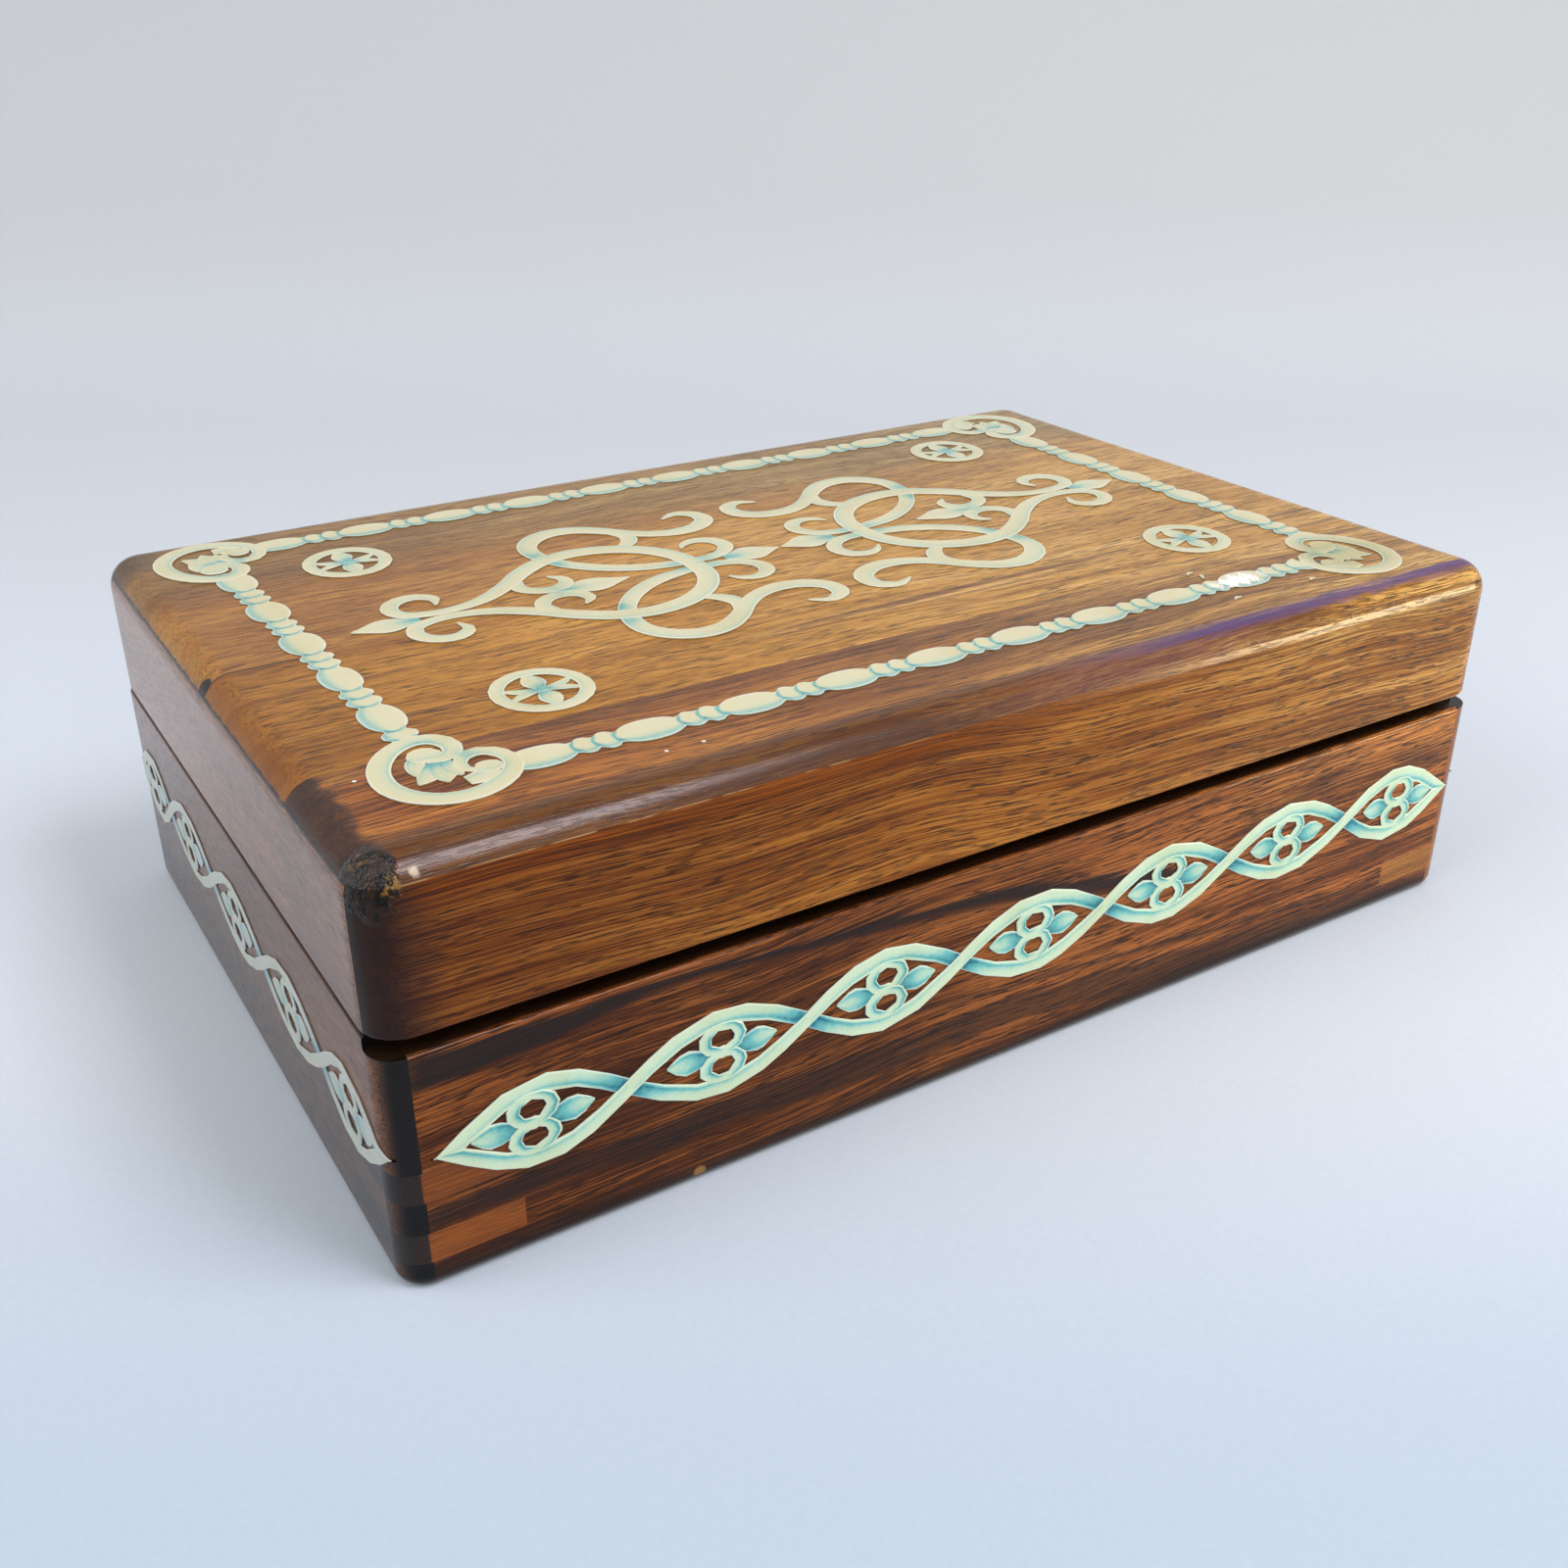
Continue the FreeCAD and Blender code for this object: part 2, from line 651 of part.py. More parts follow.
def star_medallion(u, v):
    parts = [ring(u, v, 7.4, 5.3)]
    for count in range(6):
        angle = math.radians(90 + 60 * count)
        tip = (u + 6.0 * math.cos(angle), v + 6.0 * math.sin(angle))
        parts.append(lens((u - 0.6 * math.cos(angle), v - 0.6 * math.sin(angle)), tip, 1.15))
    return on_top(parts)


stars = [star_medallion(u, v) for u, v in MEDALLIONS]
paper_piece("star_medallions", Part.makeCompound(stars))

# Corner scrolls: a ring whose ends roll in, with a leaf that points to the box corner

CORNERS = [(-80.6, -45.4, 1, 1), (79.6, -48.6, -1, 1), (-84.5, 50.3, 1, -1), (82.2, 50.3, -1, -1)]


def corner_scroll(u, v, to_right, to_back):
    parts = [ring(u, v, 10.2, 7.3)]
    for along, across in ((0.4, 5.4), (5.4, 0.4)):
        spot = (u + to_right * along, v + to_back * across)
        parts.append(ring(*spot, 4.4, 1.7))
    start = (u + to_right * 3.6, v + to_back * 3.6)
    tip = (u - to_right * 3.9, v - to_back * 3.9)
    parts.append(lens(start, tip, 2.2))
    return on_top(parts)


corners = [corner_scroll(*spot) for spot in CORNERS]
paper_piece("corner_scrolls", Part.makeCompound(corners))

# Bead borders: ovals with two short reels between each pair


def bead_border(first, pitch, count, low, high):
    """Row of beads along U, trimmed at its two ends."""
    parts = [slab(first - pitch, first + pitch * count, -1.9, 1.9)]
    for number in range(-1, count):
        middle = first + number * pitch
        parts.append(oval(middle, 0, 5.1, 3.2))
        for step in (-1.25, 1.25):
            parts.append(oval(middle + pitch / 2 + step, 0, 1.45, 2.8))
    return on_top(parts).common(on_top([slab(low, high, -4, 4)]))


def border_along_x(label, v, *row):
    return paper_piece(label, bead_border(*row).translated(Vector(0, v, 0)))


def border_along_y(label, u, *row):
    beads = bead_border(*row)
    beads.rotate(Vector(0, 0, 0), Vector(0, 0, 1), 90)
    return paper_piece(label, beads.translated(Vector(u, 0, 0)))


border_along_x("bead_border_front", -49.2, -69.0, 15.7, 9, -69.6, 68.9)
border_along_x("bead_border_back", 53.6, -72.5, 15.75, 10, -74.0, 71.6)
border_along_y("bead_border_left", -83.0, -26.8, 16.1, 5, -34.9, 39.9)
border_along_y("bead_border_right", 81.8, -25.6, 15.5, 5, -38.1, 39.9)

# Check every object, then write one file for each piece

doc.recompute()
for item in doc.Objects:
    if "Invalid" in item.State or "Error" in item.State:
        raise RuntimeError(f"{item.Name} did not build: {item.State}")
for piece in nodes:
    if piece.Shape.isNull() or not piece.Shape.isValid() or not piece.Shape.Solids:
        raise RuntimeError(f"{piece.Label} has no valid solid")

os.makedirs("parts", exist_ok=True)
for piece in nodes:
    piece.Shape.exportStep(f"parts/{piece.Label}.step")
    print(piece.Label, len(piece.Shape.Solids), round(piece.Shape.Volume, 1))
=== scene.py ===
import math
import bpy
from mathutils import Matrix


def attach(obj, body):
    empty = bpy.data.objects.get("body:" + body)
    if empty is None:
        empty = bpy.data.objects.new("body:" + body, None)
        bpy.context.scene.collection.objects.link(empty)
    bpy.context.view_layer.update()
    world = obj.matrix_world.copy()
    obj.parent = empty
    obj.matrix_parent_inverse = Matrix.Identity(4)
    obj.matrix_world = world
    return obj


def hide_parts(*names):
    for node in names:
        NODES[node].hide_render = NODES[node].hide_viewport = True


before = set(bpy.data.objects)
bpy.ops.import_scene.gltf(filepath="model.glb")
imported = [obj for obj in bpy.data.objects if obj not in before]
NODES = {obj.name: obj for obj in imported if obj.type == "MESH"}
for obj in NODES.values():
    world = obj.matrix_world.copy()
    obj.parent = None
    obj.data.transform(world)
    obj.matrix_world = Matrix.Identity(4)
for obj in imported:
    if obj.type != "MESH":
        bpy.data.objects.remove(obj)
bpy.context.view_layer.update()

from types import SimpleNamespace

import bpy
import numpy as np
from mathutils import Matrix, Vector

MM = 0.001
CHANCE = np.random.default_rng(7)

# Sizes of the box in mm, as they are in the solid model.
HALF_WIDTH = 100.0
HALF_DEPTH = 66.0
TOP = 62.4
PLANK_SEAM = 59.4
BASE_RADIUS = 4.0

# Height in mm round which the rims of base and lid lie; their flat faces there are painted dark as shade.
RIM_LEVEL = 37.5

# Heights in mm: of a piece of paper, of the steps between pieces that overlap, and of the rise along one.
PAPER = 0.24
PAPER_STEP = 0.0037
PAPER_STEPS = 8
PAPER_RISE = 0.01

# Level direction in which the camera looks.
AHEAD = (0.527, 0.850, 0.0)


def add_object(name, data):
    made = bpy.data.objects.new(name, data)
    bpy.context.scene.collection.objects.link(made)
    return made


# Camera, at the place the photograph was taken from.
def add_camera():
    eye = Vector((-0.1412808, -0.2246013, 0.1529536))
    right = Vector((0.84902367, -0.52834679, -0.00291062))
    up = Vector((0.2402657, 0.3811755, 0.89273604))
    turn = Matrix((right, up, right.cross(up))).transposed()
    data = bpy.data.cameras.new("camera")
    data.sensor_width = 36.0
    data.lens = 37.3107
    data.clip_start = 0.01
    camera = add_object("camera", data)
    camera.matrix_world = Matrix.Translation(eye) @ turn.to_4x4()
    bpy.context.scene.camera = camera


class Shader:
    """A node tree, with short ways to add the nodes that are used most."""

    def __init__(self, name, world=False):
        self.material = bpy.data.worlds.new(name) if world else bpy.data.materials.new(name)
        self.material.use_nodes = True
        self.tree = self.material.node_tree
        self.skin = self.tree.nodes["Background" if world else "Principled BSDF"]

    def feed(self, socket, value):
        if isinstance(value, bpy.types.NodeSocket):
            self.tree.links.new(value, socket)
        else:
            socket.default_value = value

    def put(self, kind, inputs=None, **settings):
        node = self.tree.nodes.new(kind)
        for key, value in settings.items():
            setattr(node, key, value)
        for place, value in (inputs or {}).items():
            self.feed(node.inputs[place], value)
        return node

    def math(self, operation, first, second=0.0, third=0.0):
        inputs = {0: first, 1: second, 2: third}
        return self.put("ShaderNodeMath", inputs, operation=operation).outputs[0]

    def times(self, *values):
        total = values[0]
        for value in values[1:]:
            total = self.math("MULTIPLY", total, value)
        return total

    def linear(self, value, slope, base):
        """The value times slope, plus base."""
        return self.math("MULTIPLY_ADD", value, slope, base)

    def mix(self, factor, first, second, blend="MIX"):
        inputs = {0: factor, 6: first, 7: second}
        node = self.put("ShaderNodeMix", inputs, data_type="RGBA", blend_type=blend)
        return node.outputs[2]

    def scale(self, factor, tint, parts):
        """The tint with its red, green and blue multiplied by parts where factor is 1."""
        return self.mix(factor, tint, (*parts, 1.0), "MULTIPLY")

    def cover(self, tint, tone, *parts):
        """The tint covered by a tone, given as it is seen, as far as the product of the parts."""
        return self.mix(self.times(*parts), tint, solid(*tone))

    def ramp(self, factor, *stops):
        node = self.put("ShaderNodeValToRGB", {0: factor})
        places = node.color_ramp.elements
        while len(places) < len(stops):
            places.new(0.5)
        for place, (position, tone) in zip(places, stops):
            place.position = position
            place.color = (*tone, 1.0)
        return node.outputs[0]

    def step(self, value, low, high):
        """0 at low and 1 at high, smooth between; high may be the smaller one."""
        inputs = {0: value, 1: min(low, high), 2: max(low, high)}
        if low > high:
            inputs.update({3: 1.0, 4: 0.0})
        node = self.put("ShaderNodeMapRange", inputs, interpolation_type="SMOOTHSTEP")
        return node.outputs[0]

    def millimetres(self):
        """Places on the box in mm, the same at every pose."""
        places = self.put("ShaderNodeTexCoord").outputs["Object"]
        return self.stretch(places, (1000.0, 1000.0, 1000.0))

    def vectors(self, operation, first, second):
        return self.put("ShaderNodeVectorMath", {0: first, 1: second}, operation=operation).outputs

    def stretch(self, vector, scale):
        return self.vectors("MULTIPLY", vector, scale)[0]

    def shift(self, vector, offset):
        return self.vectors("ADD", vector, offset)[0]

    def dot(self, vector, other):
        return self.vectors("DOT_PRODUCT", vector, other)["Value"]

    def away(self, vector, place):
        """Distance from a place."""
        return self.vectors("DISTANCE", vector, place)["Value"]

    def split(self, vector):
        return self.put("ShaderNodeSeparateXYZ", {0: vector}).outputs

    def join(self, x, y, z):
        return self.put("ShaderNodeCombineXYZ", {0: x, 1: y, 2: z}).outputs[0]

    def noise(self, vector, scale=1.0, detail=2.0, roughness=0.5):
        inputs = {"Vector": vector, "Scale": scale, "Detail": detail, "Roughness": roughness}
        return self.put("ShaderNodeTexNoise", inputs).outputs[0]

    def curve(self, value, points):
        """A smooth curve through (value, height) points, all between -100 and 100 mm."""
        node = self.put("ShaderNodeFloatCurve", {"Value": self.linear(value, 0.005, 0.5)})
        line = node.mapping.curves[0].points
        while len(line) < len(points):
            line.new(0.5, 0.5)
        for place, (along, height) in zip(line, points):
            place.location = (along * 0.005 + 0.5, height * 0.005 + 0.5)
        node.mapping.update()
        return self.linear(node.outputs[0], 200.0, -100.0)

    def near(self, value, place, core, reach):
        """1 within core of a place, fading to 0 at reach."""
        gap = self.math("ABSOLUTE", self.math("SUBTRACT", value, place))
        return self.step(gap, reach, core)

    def attribute(self, name):
        return self.put("ShaderNodeAttribute", attribute_name=name).outputs["Fac"]

    def bump(self, height, distance, strength):
        inputs = {"Height": height, "Distance": distance, "Strength": strength}
        self.feed(self.skin.inputs["Normal"], self.put("ShaderNodeBump", inputs).outputs[0])

    def set(self, **values):
        for key, value in values.items():
            self.feed(self.skin.inputs[key.replace("_", " ")], value)


def colour(red, green, blue):
    """A colour given as it is seen, 0 to 255, as the linear value that a shader takes."""
    def linear(part):
        part /= 255.0
        return part / 12.92 if part <= 0.04045 else ((part + 0.055) / 1.055) ** 2.4
    return (linear(red), linear(green), linear(blue))


def solid(red, green, blue):
    return (*colour(red, green, blue), 1.0)


# Floor, backdrop and light.
def add_stage():
    shader = Shader("pale_paper")
    spot = shader.millimetres()
    z = shader.split(spot)[2]
    fleck = shader.noise(spot, 0.9, 2.0)
    floor = shader.ramp(fleck, (0.3, colour(204, 211, 219)), (0.7, colour(208, 214, 221)))
    depth = shader.dot(spot, AHEAD)
    # Toward the camera the floor is painted darker: painted shade. Far behind the box it is a little darker
    # too.
    floor = shader.scale(shader.step(depth, -40.0, -150.0), floor, (0.74, 0.80, 0.86))
    floor = shader.scale(shader.step(depth, 60.0, 260.0), floor, (0.95, 0.93, 0.91))
    wall = shader.ramp(fleck, (0.3, colour(194, 196, 199)), (0.7, colour(196, 198, 201)))
    tint = shader.mix(shader.step(z, 0.0, 60.0), floor, wall)
    shader.set(Base_Color=tint, Roughness=0.9, Specular_IOR_Level=0.1)
    ahead, aside = Vector(AHEAD), Vector((AHEAD[1], -AHEAD[0], 0.0))
    below_camera = Vector((-0.141, -0.225, 0.0))
    near_end, bend, radius, height, half_width = -3.0, 0.6, 0.4, 3.0, 4.0
    profile = [(near_end, 0.0), (bend, 0.0)]
    for i in range(1, 19):
        angle = math.radians(5.0 * i)
        profile.append((bend + radius * math.sin(angle), radius * (1.0 - math.cos(angle))))
    profile.append((bend + radius, height))
    points = []
    for reach in (-half_width, half_width):
        edge = below_camera + aside * reach
        points += [edge + ahead * far + Vector((0, 0, up)) for far, up in profile]
    count = len(profile)
    faces = [(i, i + 1, count + i + 1, count + i) for i in range(count - 1)]
    mesh = bpy.data.meshes.new("sweep")
    mesh.from_pydata(points, [], faces)
    mesh.materials.append(shader.material)
    mesh.shade_smooth()
    sweep = add_object("sweep", mesh)


def add_lamp(name, place, aim, size, power, tint):
    data = bpy.data.lights.new(name, "AREA")
    data.shape = "RECTANGLE"
    data.size, data.size_y = size
    data.energy = power
    data.color = tint
    lamp = add_object(name, data)
    lamp.location = place
    lamp.rotation_euler = (Vector(aim) - Vector(place)).to_track_quat("-Z", "Y").to_euler()


def add_light():
    world = Shader("soft_room", True)
    toward = world.put("ShaderNodeTexCoord").outputs["Generated"]
    shade = world.step(world.dot(toward, (-0.50, -0.84, 0.20)), 0.55, 0.97)
    glow = world.mix(shade, (0.96, 0.98, 1.0, 1.0), (0.25, 0.25, 0.28, 1.0))
    world.set(Color=glow, Strength=1.12)
    bpy.context.scene.world = world.material
    add_lamp("window", (0.545, -0.50, 0.082), (0.05, -0.05, 0.057), (0.17, 0.16), 2.4, (1.0, 0.88, 0.56))
    add_lamp("left_fill", (-0.95, 0.15, 0.55), (-0.15, 0.05, 0.0), (0.8, 0.8), 4.3, (1.0, 0.97, 0.94))
    add_lamp("ceiling", (0.28, -0.62, 1.0), (0.28, -0.619, 0.0), (0.35, 0.7), 7.4, (0.94, 0.92, 1.0))


# Wood. How often each layer of the grain changes per mm: along the grain, and twice across it.
FIBRE = (0.045, 4.6, 4.6)
FIGURE = (0.008, 0.3, 0.3)
CLOUD = (0.02, 0.05, 0.05)
DASH = (0.24, 4.4, 4.4)


def wood(name, grain, tones, zones=None, lean=0.0, offset=(0.0, 0.0, 0.0), pores=0.8, end=(40, 27, 20),
         gloss=0.2, ior=1.34, raw=0.35, flat=False, soft=0.08):
    """Varnished wood with pores, fibres and figure along its grain. zones adds what one board has alone.
    lean tilts the grain, and offset picks its place in the noise. A small soft is a crisp grain.
    The grain wanders within the face: flat is for the planks of the top.
    Faces that look along the grain by more than raw show end grain, in the colour end."""
    shader = Shader(name)
    spot = shader.millimetres()
    at = SimpleNamespace(spot=spot, broken=None)
    at.x, at.y, at.z = shader.split(spot)
    along, across = (at.x, at.y) if grain == "x" else (at.y, at.x)
    wander = shader.math("SUBTRACT", shader.noise(shader.shift(spot, offset), 0.016, 1.0), 0.5)
    wander = shader.linear(along, lean, shader.times(wander, 7.0))
    if flat:
        run = shader.join(along, shader.math("ADD", across, wander), at.z)
    else:
        run = shader.join(along, across, shader.math("ADD", at.z, wander))
    run = shader.shift(run, offset)
    at.fibre = shader.noise(shader.stretch(run, FIBRE), 1.0, 4.0, 0.65)
    at.figure = shader.noise(shader.stretch(run, FIGURE), 1.0, 4.0, 0.6)
    at.cloud = shader.noise(shader.stretch(run, CLOUD), 1.0, 2.0)
    dash = shader.noise(shader.stretch(run, DASH), 1.0, 1.0)
    dash = shader.linear(at.figure, 0.14, dash)
    at.pore = shader.step(dash, 0.62, 0.70)
    tone = shader.linear(at.figure, 0.32, shader.times(at.cloud, 0.20))
    tone = shader.linear(at.fibre, 0.48, tone)
    dark, middle, light = tones
    tint = shader.ramp(tone, (0.5 - soft, colour(*dark)), (0.5, colour(*middle)),
                       (0.5 + soft, colour(*light)))
    pore_tone = solid(*[part * 0.5 for part in dark])
    tint = shader.mix(shader.times(at.pore, pores), tint, pore_tone)
    facing = shader.put("ShaderNodeTexCoord").outputs["Normal"]
    lengthwise = shader.math("ABSOLUTE", shader.dot(facing, (1, 0, 0) if grain == "x" else (0, 1, 0)))
    rings = shader.noise(spot, 0.7, 4.0, 0.7)
    end_tint = shader.ramp(rings, (0.35, colour(*[part * 0.8 for part in end])), (0.65, colour(*end)))
    tint = shader.mix(shader.step(lengthwise, raw, min(raw + 0.5, 1.0)), tint, end_tint)
    at.up = shader.dot(facing, (0, 0, 1))
    if zones:
        tint = zones(shader, tint, at)
    # Flat faces at the rims where base and lid meet are painted dark brown: painted shade of the seam and the
    # finger gap.
    level = shader.step(shader.math("ABSOLUTE", at.up), 0.5, 0.9)
    rim = shader.times(level, shader.near(at.z, RIM_LEVEL, 1.3, 1.5), shader.step(at.y, -65.6, -64.9))
    tint = shader.cover(tint, (36, 23, 15), rim, 0.9)
    rough = shader.linear(at.fibre, 0.12, gloss - 0.06)
    shader.set(Base_Color=tint, Roughness=shader.linear(at.pore, 0.1, rough), IOR=ior)
    relief = shader.linear(at.pore, -0.7, at.fibre)
    if at.broken:
        relief = shader.linear(at.broken, 40.0, relief)
    shader.bump(relief, 0.03 * MM, 0.6)
    return shader.material


# Blue-black streaks of the front board: upper edge, lower edge and depth.
FRONT_STREAKS = [
    ([(-100, 36.6), (-85, 36.0), (-76, 35.2), (-63, 35.6), (-41, 33.9), (-26, 33.1), (-13, 31.9), (0, 30.6),
      (12, 28.0), (24, 25.8), (40, 22.0)],
     [(-100, 31.2), (-85, 31.3), (-76, 31.9), (-63, 33.7), (-41, 32.4), (-26, 31.0), (-13, 30.0), (0, 28.1),
      (12, 25.0), (24, 22.6), (40, 19.0)], 0.94),
    ([(-100, 13.2), (-82, 12.8), (-63, 12.2), (-51, 12.8), (-38, 12.0), (-20, 11.0), (0, 10.9), (12, 9.9),
      (24, 8.7), (40, 7.2), (70, 5.2), (100, 4.0)],
     [(-100, 9.6), (-82, 9.4), (-76, 9.3), (-63, 7.4), (-51, 8.0), (-38, 6.8), (-20, 6.2), (0, 6.2),
      (12, 4.4), (24, 3.0), (40, 1.9), (70, 1.2), (100, 1.0)], 0.7),
    ([(-100, 18.6), (-60, 17.6), (-30, 16.0), (0, 13.6)],
     [(-100, 17.4), (-60, 16.6), (-30, 15.2), (0, 13.0)], 0.4),
    ([(-20, 14.4), (10, 12.8), (40, 9.6), (70, 7.0), (100, 5.4)],
     [(-20, 13.8), (10, 11.8), (40, 8.6), (70, 6.0), (100, 4.6)], 0.8),
    ([(40, 26.4), (60, 30.8), (76, 34.6)], [(40, 24.8), (60, 28.6), (76, 33.4)], 0.5),
    ([(78, 31.5), (88, 31.0), (100, 29.0)], [(78, 30.5), (88, 28.0), (100, 26.0)], 0.4),
]


def front_zones(shader, tint, at):
    """Blue-black streaks that sweep down to the right; paler wood at the right end, partly painted light,
    with painted shade at the left end and along the bottom.
    """
    # Lighter to the right and darker to the left: partly the wood, partly painted light and painted shade.
    tint = shader.scale(shader.times(shader.step(at.x, -10.0, 95.0), 0.75), tint, (1.9, 1.95, 1.9))
    tint = shader.scale(shader.step(at.x, -30.0, -90.0), tint, (0.86, 0.8, 0.72))
    bright = shader.times(shader.step(at.x, 25.0, 60.0), shader.step(at.z, 22.0, 31.0), 0.8)
    tint = shader.scale(bright, tint, (1.25, 1.5, 1.7))
    wobble = shader.times(shader.math("SUBTRACT", at.fibre, 0.5), 4.5)
    level = shader.math("ADD", at.z, shader.linear(at.figure, 1.6, wobble))
    level = shader.math("SUBTRACT", level, 0.8)
    for upper, lower, depth in FRONT_STREAKS:
        below = shader.step(shader.math("SUBTRACT", shader.curve(at.x, upper), level), -0.4, 0.5)
        above = shader.step(shader.math("SUBTRACT", level, shader.curve(at.x, lower)), -0.4, 0.5)
        inside = shader.times(shader.step(at.x, lower[0][0] - 1.0, lower[0][0] + 6.0),
                              shader.step(at.x, lower[-1][0] + 1.0, lower[-1][0] - 12.0))
        tint = shader.cover(tint, (33, 24, 22), below, above, inside, depth)
    # Darker along the bottom edge: painted shade.
    low = shader.step(at.z, 4.8, 1.6)
    tint = shader.cover(tint, (32, 23, 20), low, 0.92)
    chip = shader.step(shader.away(at.spot, (-57.0, -66.0, 1.6)), 1.2, 0.7)
    return shader.cover(tint, (150, 110, 62), chip, 0.8)


def base_side_zones(shader, tint, at):
    """Painted shade low down, brown at the right front corner, and near-black painted shade at the ends of
    the finger gap.
    """
    # Darker low down: painted shade.
    low = shader.times(shader.step(at.z, 22.0, 8.0), 0.85)
    tint = shader.scale(low, tint, (0.28, 0.28, 0.28))
    lip = shader.times(shader.step(at.x, 0.0, 50.0), shader.step(at.y, -61.8, -63.0))
    lip_tint = shader.ramp(at.fibre, (0.35, colour(106, 62, 34)), (0.65, colour(142, 92, 54)))
    tint = shader.mix(lip, tint, lip_tint)
    # The ends of the side boards inside the finger gap are painted near black: painted shade.
    gap = shader.times(shader.step(at.y, -61.0, -61.6), shader.step(at.z, 36.1, 36.25))
    return shader.cover(tint, (9, 7, 6), gap, 0.96)


def key_zones(shader, tint, at):
    """Paler at the right, partly the wood and partly painted light; dark where a key runs out through the
    left side board, end grain with painted shade of the corner.
    """
    # Paler at the right: partly the wood, partly painted light.
    tint = shader.scale(shader.step(at.x, -20.0, 60.0), tint, (1.4, 2.0, 3.4))
    # Dark at the left corner: end grain with painted shade.
    out = shader.step(at.x, -96.1, -96.4)
    return shader.cover(tint, (28, 18, 14), out, 0.96)


def lid_front_zones(shader, tint, at):
    """Amber varnish under the rounded edge; darker to the left and paler to the right, partly the wood and
    partly painted shade and painted light; with the broken corner.
    """
    # Darker to the left, paler to the right and most just under the rounded edge there: partly the wood,
    # partly painted shade and painted light.
    tint = shader.scale(shader.step(at.x, -20.0, -100.0), tint, (0.55, 0.44, 0.38))
    tint = shader.scale(shader.times(shader.step(at.x, 0.0, 95.0), 0.7), tint, (1.6, 2.2, 4.7))
    pale = shader.times(shader.step(at.x, 30.0, 80.0), shader.step(at.z, 54.0, 58.0))
    tint = shader.scale(pale, tint, (1.2, 1.5, 1.9))
    mottle = shader.linear(shader.step(at.fibre, 0.36, 0.6), 0.6, 0.3)
    amber = shader.times(shader.step(at.z, 55.0, 58.2), shader.step(at.x, 70.0, 0.0), mottle)
    amber_tint = shader.ramp(at.fibre, (0.38, colour(58, 23, 1)), (0.5, colour(100, 46, 1)),
                             (0.62, colour(132, 66, 3)))
    tint = shader.mix(amber, tint, amber_tint)
    # The left end is painted darker still: painted shade of the corner.
    tint = shader.cover(tint, (34, 17, 12), shader.step(at.x, -88.0, -97.5), 0.92)
    worn = shader.step(shader.noise(at.spot, 0.2, 3.0), 0.42, 0.62)
    seam = shader.times(shader.near(at.z, PLANK_SEAM, 0.06, 0.24), shader.step(at.x, 0.0, -50.0), worn, 0.5)
    tint = shader.cover(tint, (206, 164, 112), seam)
    return broken_corner(shader, tint, at)


def broken_corner(shader, tint, at):
    """The front left corner of the lid, chipped down to dark wood and old glue."""
    ragged = shader.times(shader.math("SUBTRACT", shader.noise(at.spot, 0.35, 4.0, 0.6), 0.5), 8.0)
    gap = shader.math("ADD", shader.away(at.spot, (-97.6, -64.0, 59.8)), ragged)
    dirt = shader.step(shader.noise(at.spot, 0.5, 4.0, 0.6), 0.4, 0.6)
    bare = shader.mix(dirt, solid(14, 9, 7), solid(48, 30, 18))
    glue = shader.math("ADD", shader.away(at.spot, (-94.6, -65.0, 59.2)), shader.times(ragged, 0.5))
    crumbs = shader.step(shader.noise(at.spot, 1.1, 3.0, 0.6), 0.44, 0.56)
    bare = shader.cover(bare, (126, 92, 36), shader.step(glue, 1.8, 0.9), crumbs)
    patch = shader.math("ADD", shader.away(at.spot, (-97.6, -61.4, 61.4)), shader.times(ragged, 0.5))
    bare = shader.cover(bare, (104, 76, 34), shader.step(patch, 2.0, 0.9), crumbs)
    chipped = shader.step(gap, 4.6, 3.4)
    at.broken = shader.times(chipped, shader.noise(at.spot, 0.9, 3.0, 0.6))
    tint = shader.mix(chipped, tint, bare)
    # A pale splinter, painted as bright as its whitish glint: partly the splinter, partly painted highlight.
    splinter_glint = shader.math("ADD", shader.away(at.spot, (-92.0, -64.7, 60.3)), shader.times(ragged, 0.3))
    return shader.cover(tint, (206, 184, 162), shader.step(splinter_glint, 1.0, 0.5), 0.8)


def plank_lines(shader, tint, at):
    """The dark broken joint where the plank ends meet the side boards."""
    side = shader.step(shader.math("ABSOLUTE", at.x), 93.0, 95.0)
    ragged = shader.linear(shader.noise(at.spot, 0.6, 3.0), 0.9, at.z)
    joint = shader.near(ragged, PLANK_SEAM + 0.45, 0.14, 0.45)
    tint = shader.cover(tint, (34, 24, 20), joint, side, 0.9)
    inside = shader.times(shader.step(at.up, -0.3, -0.8), shader.step(at.z, 50.0, 55.0))
    return shader.scale(inside, tint, (0.74, 0.74, 1.9))


def notch(shader, tint, at):
    """The dark notch in the left end, at the joint of the middle and back planks."""
    inside = shader.step(shader.away(at.spot, (-99.0, 1.4, 60.4)), 2.0, 1.4)
    return shader.cover(tint, (24, 15, 11), inside)


# Dark lines of the middle plank: level, half width and depth.
DARK_LINES = [(-27.4, 0.35, 0.7), (-34.2, 0.3, 0.55), (-12.0, 0.4, 0.35), (-29.6, 0.25, 0.5)]


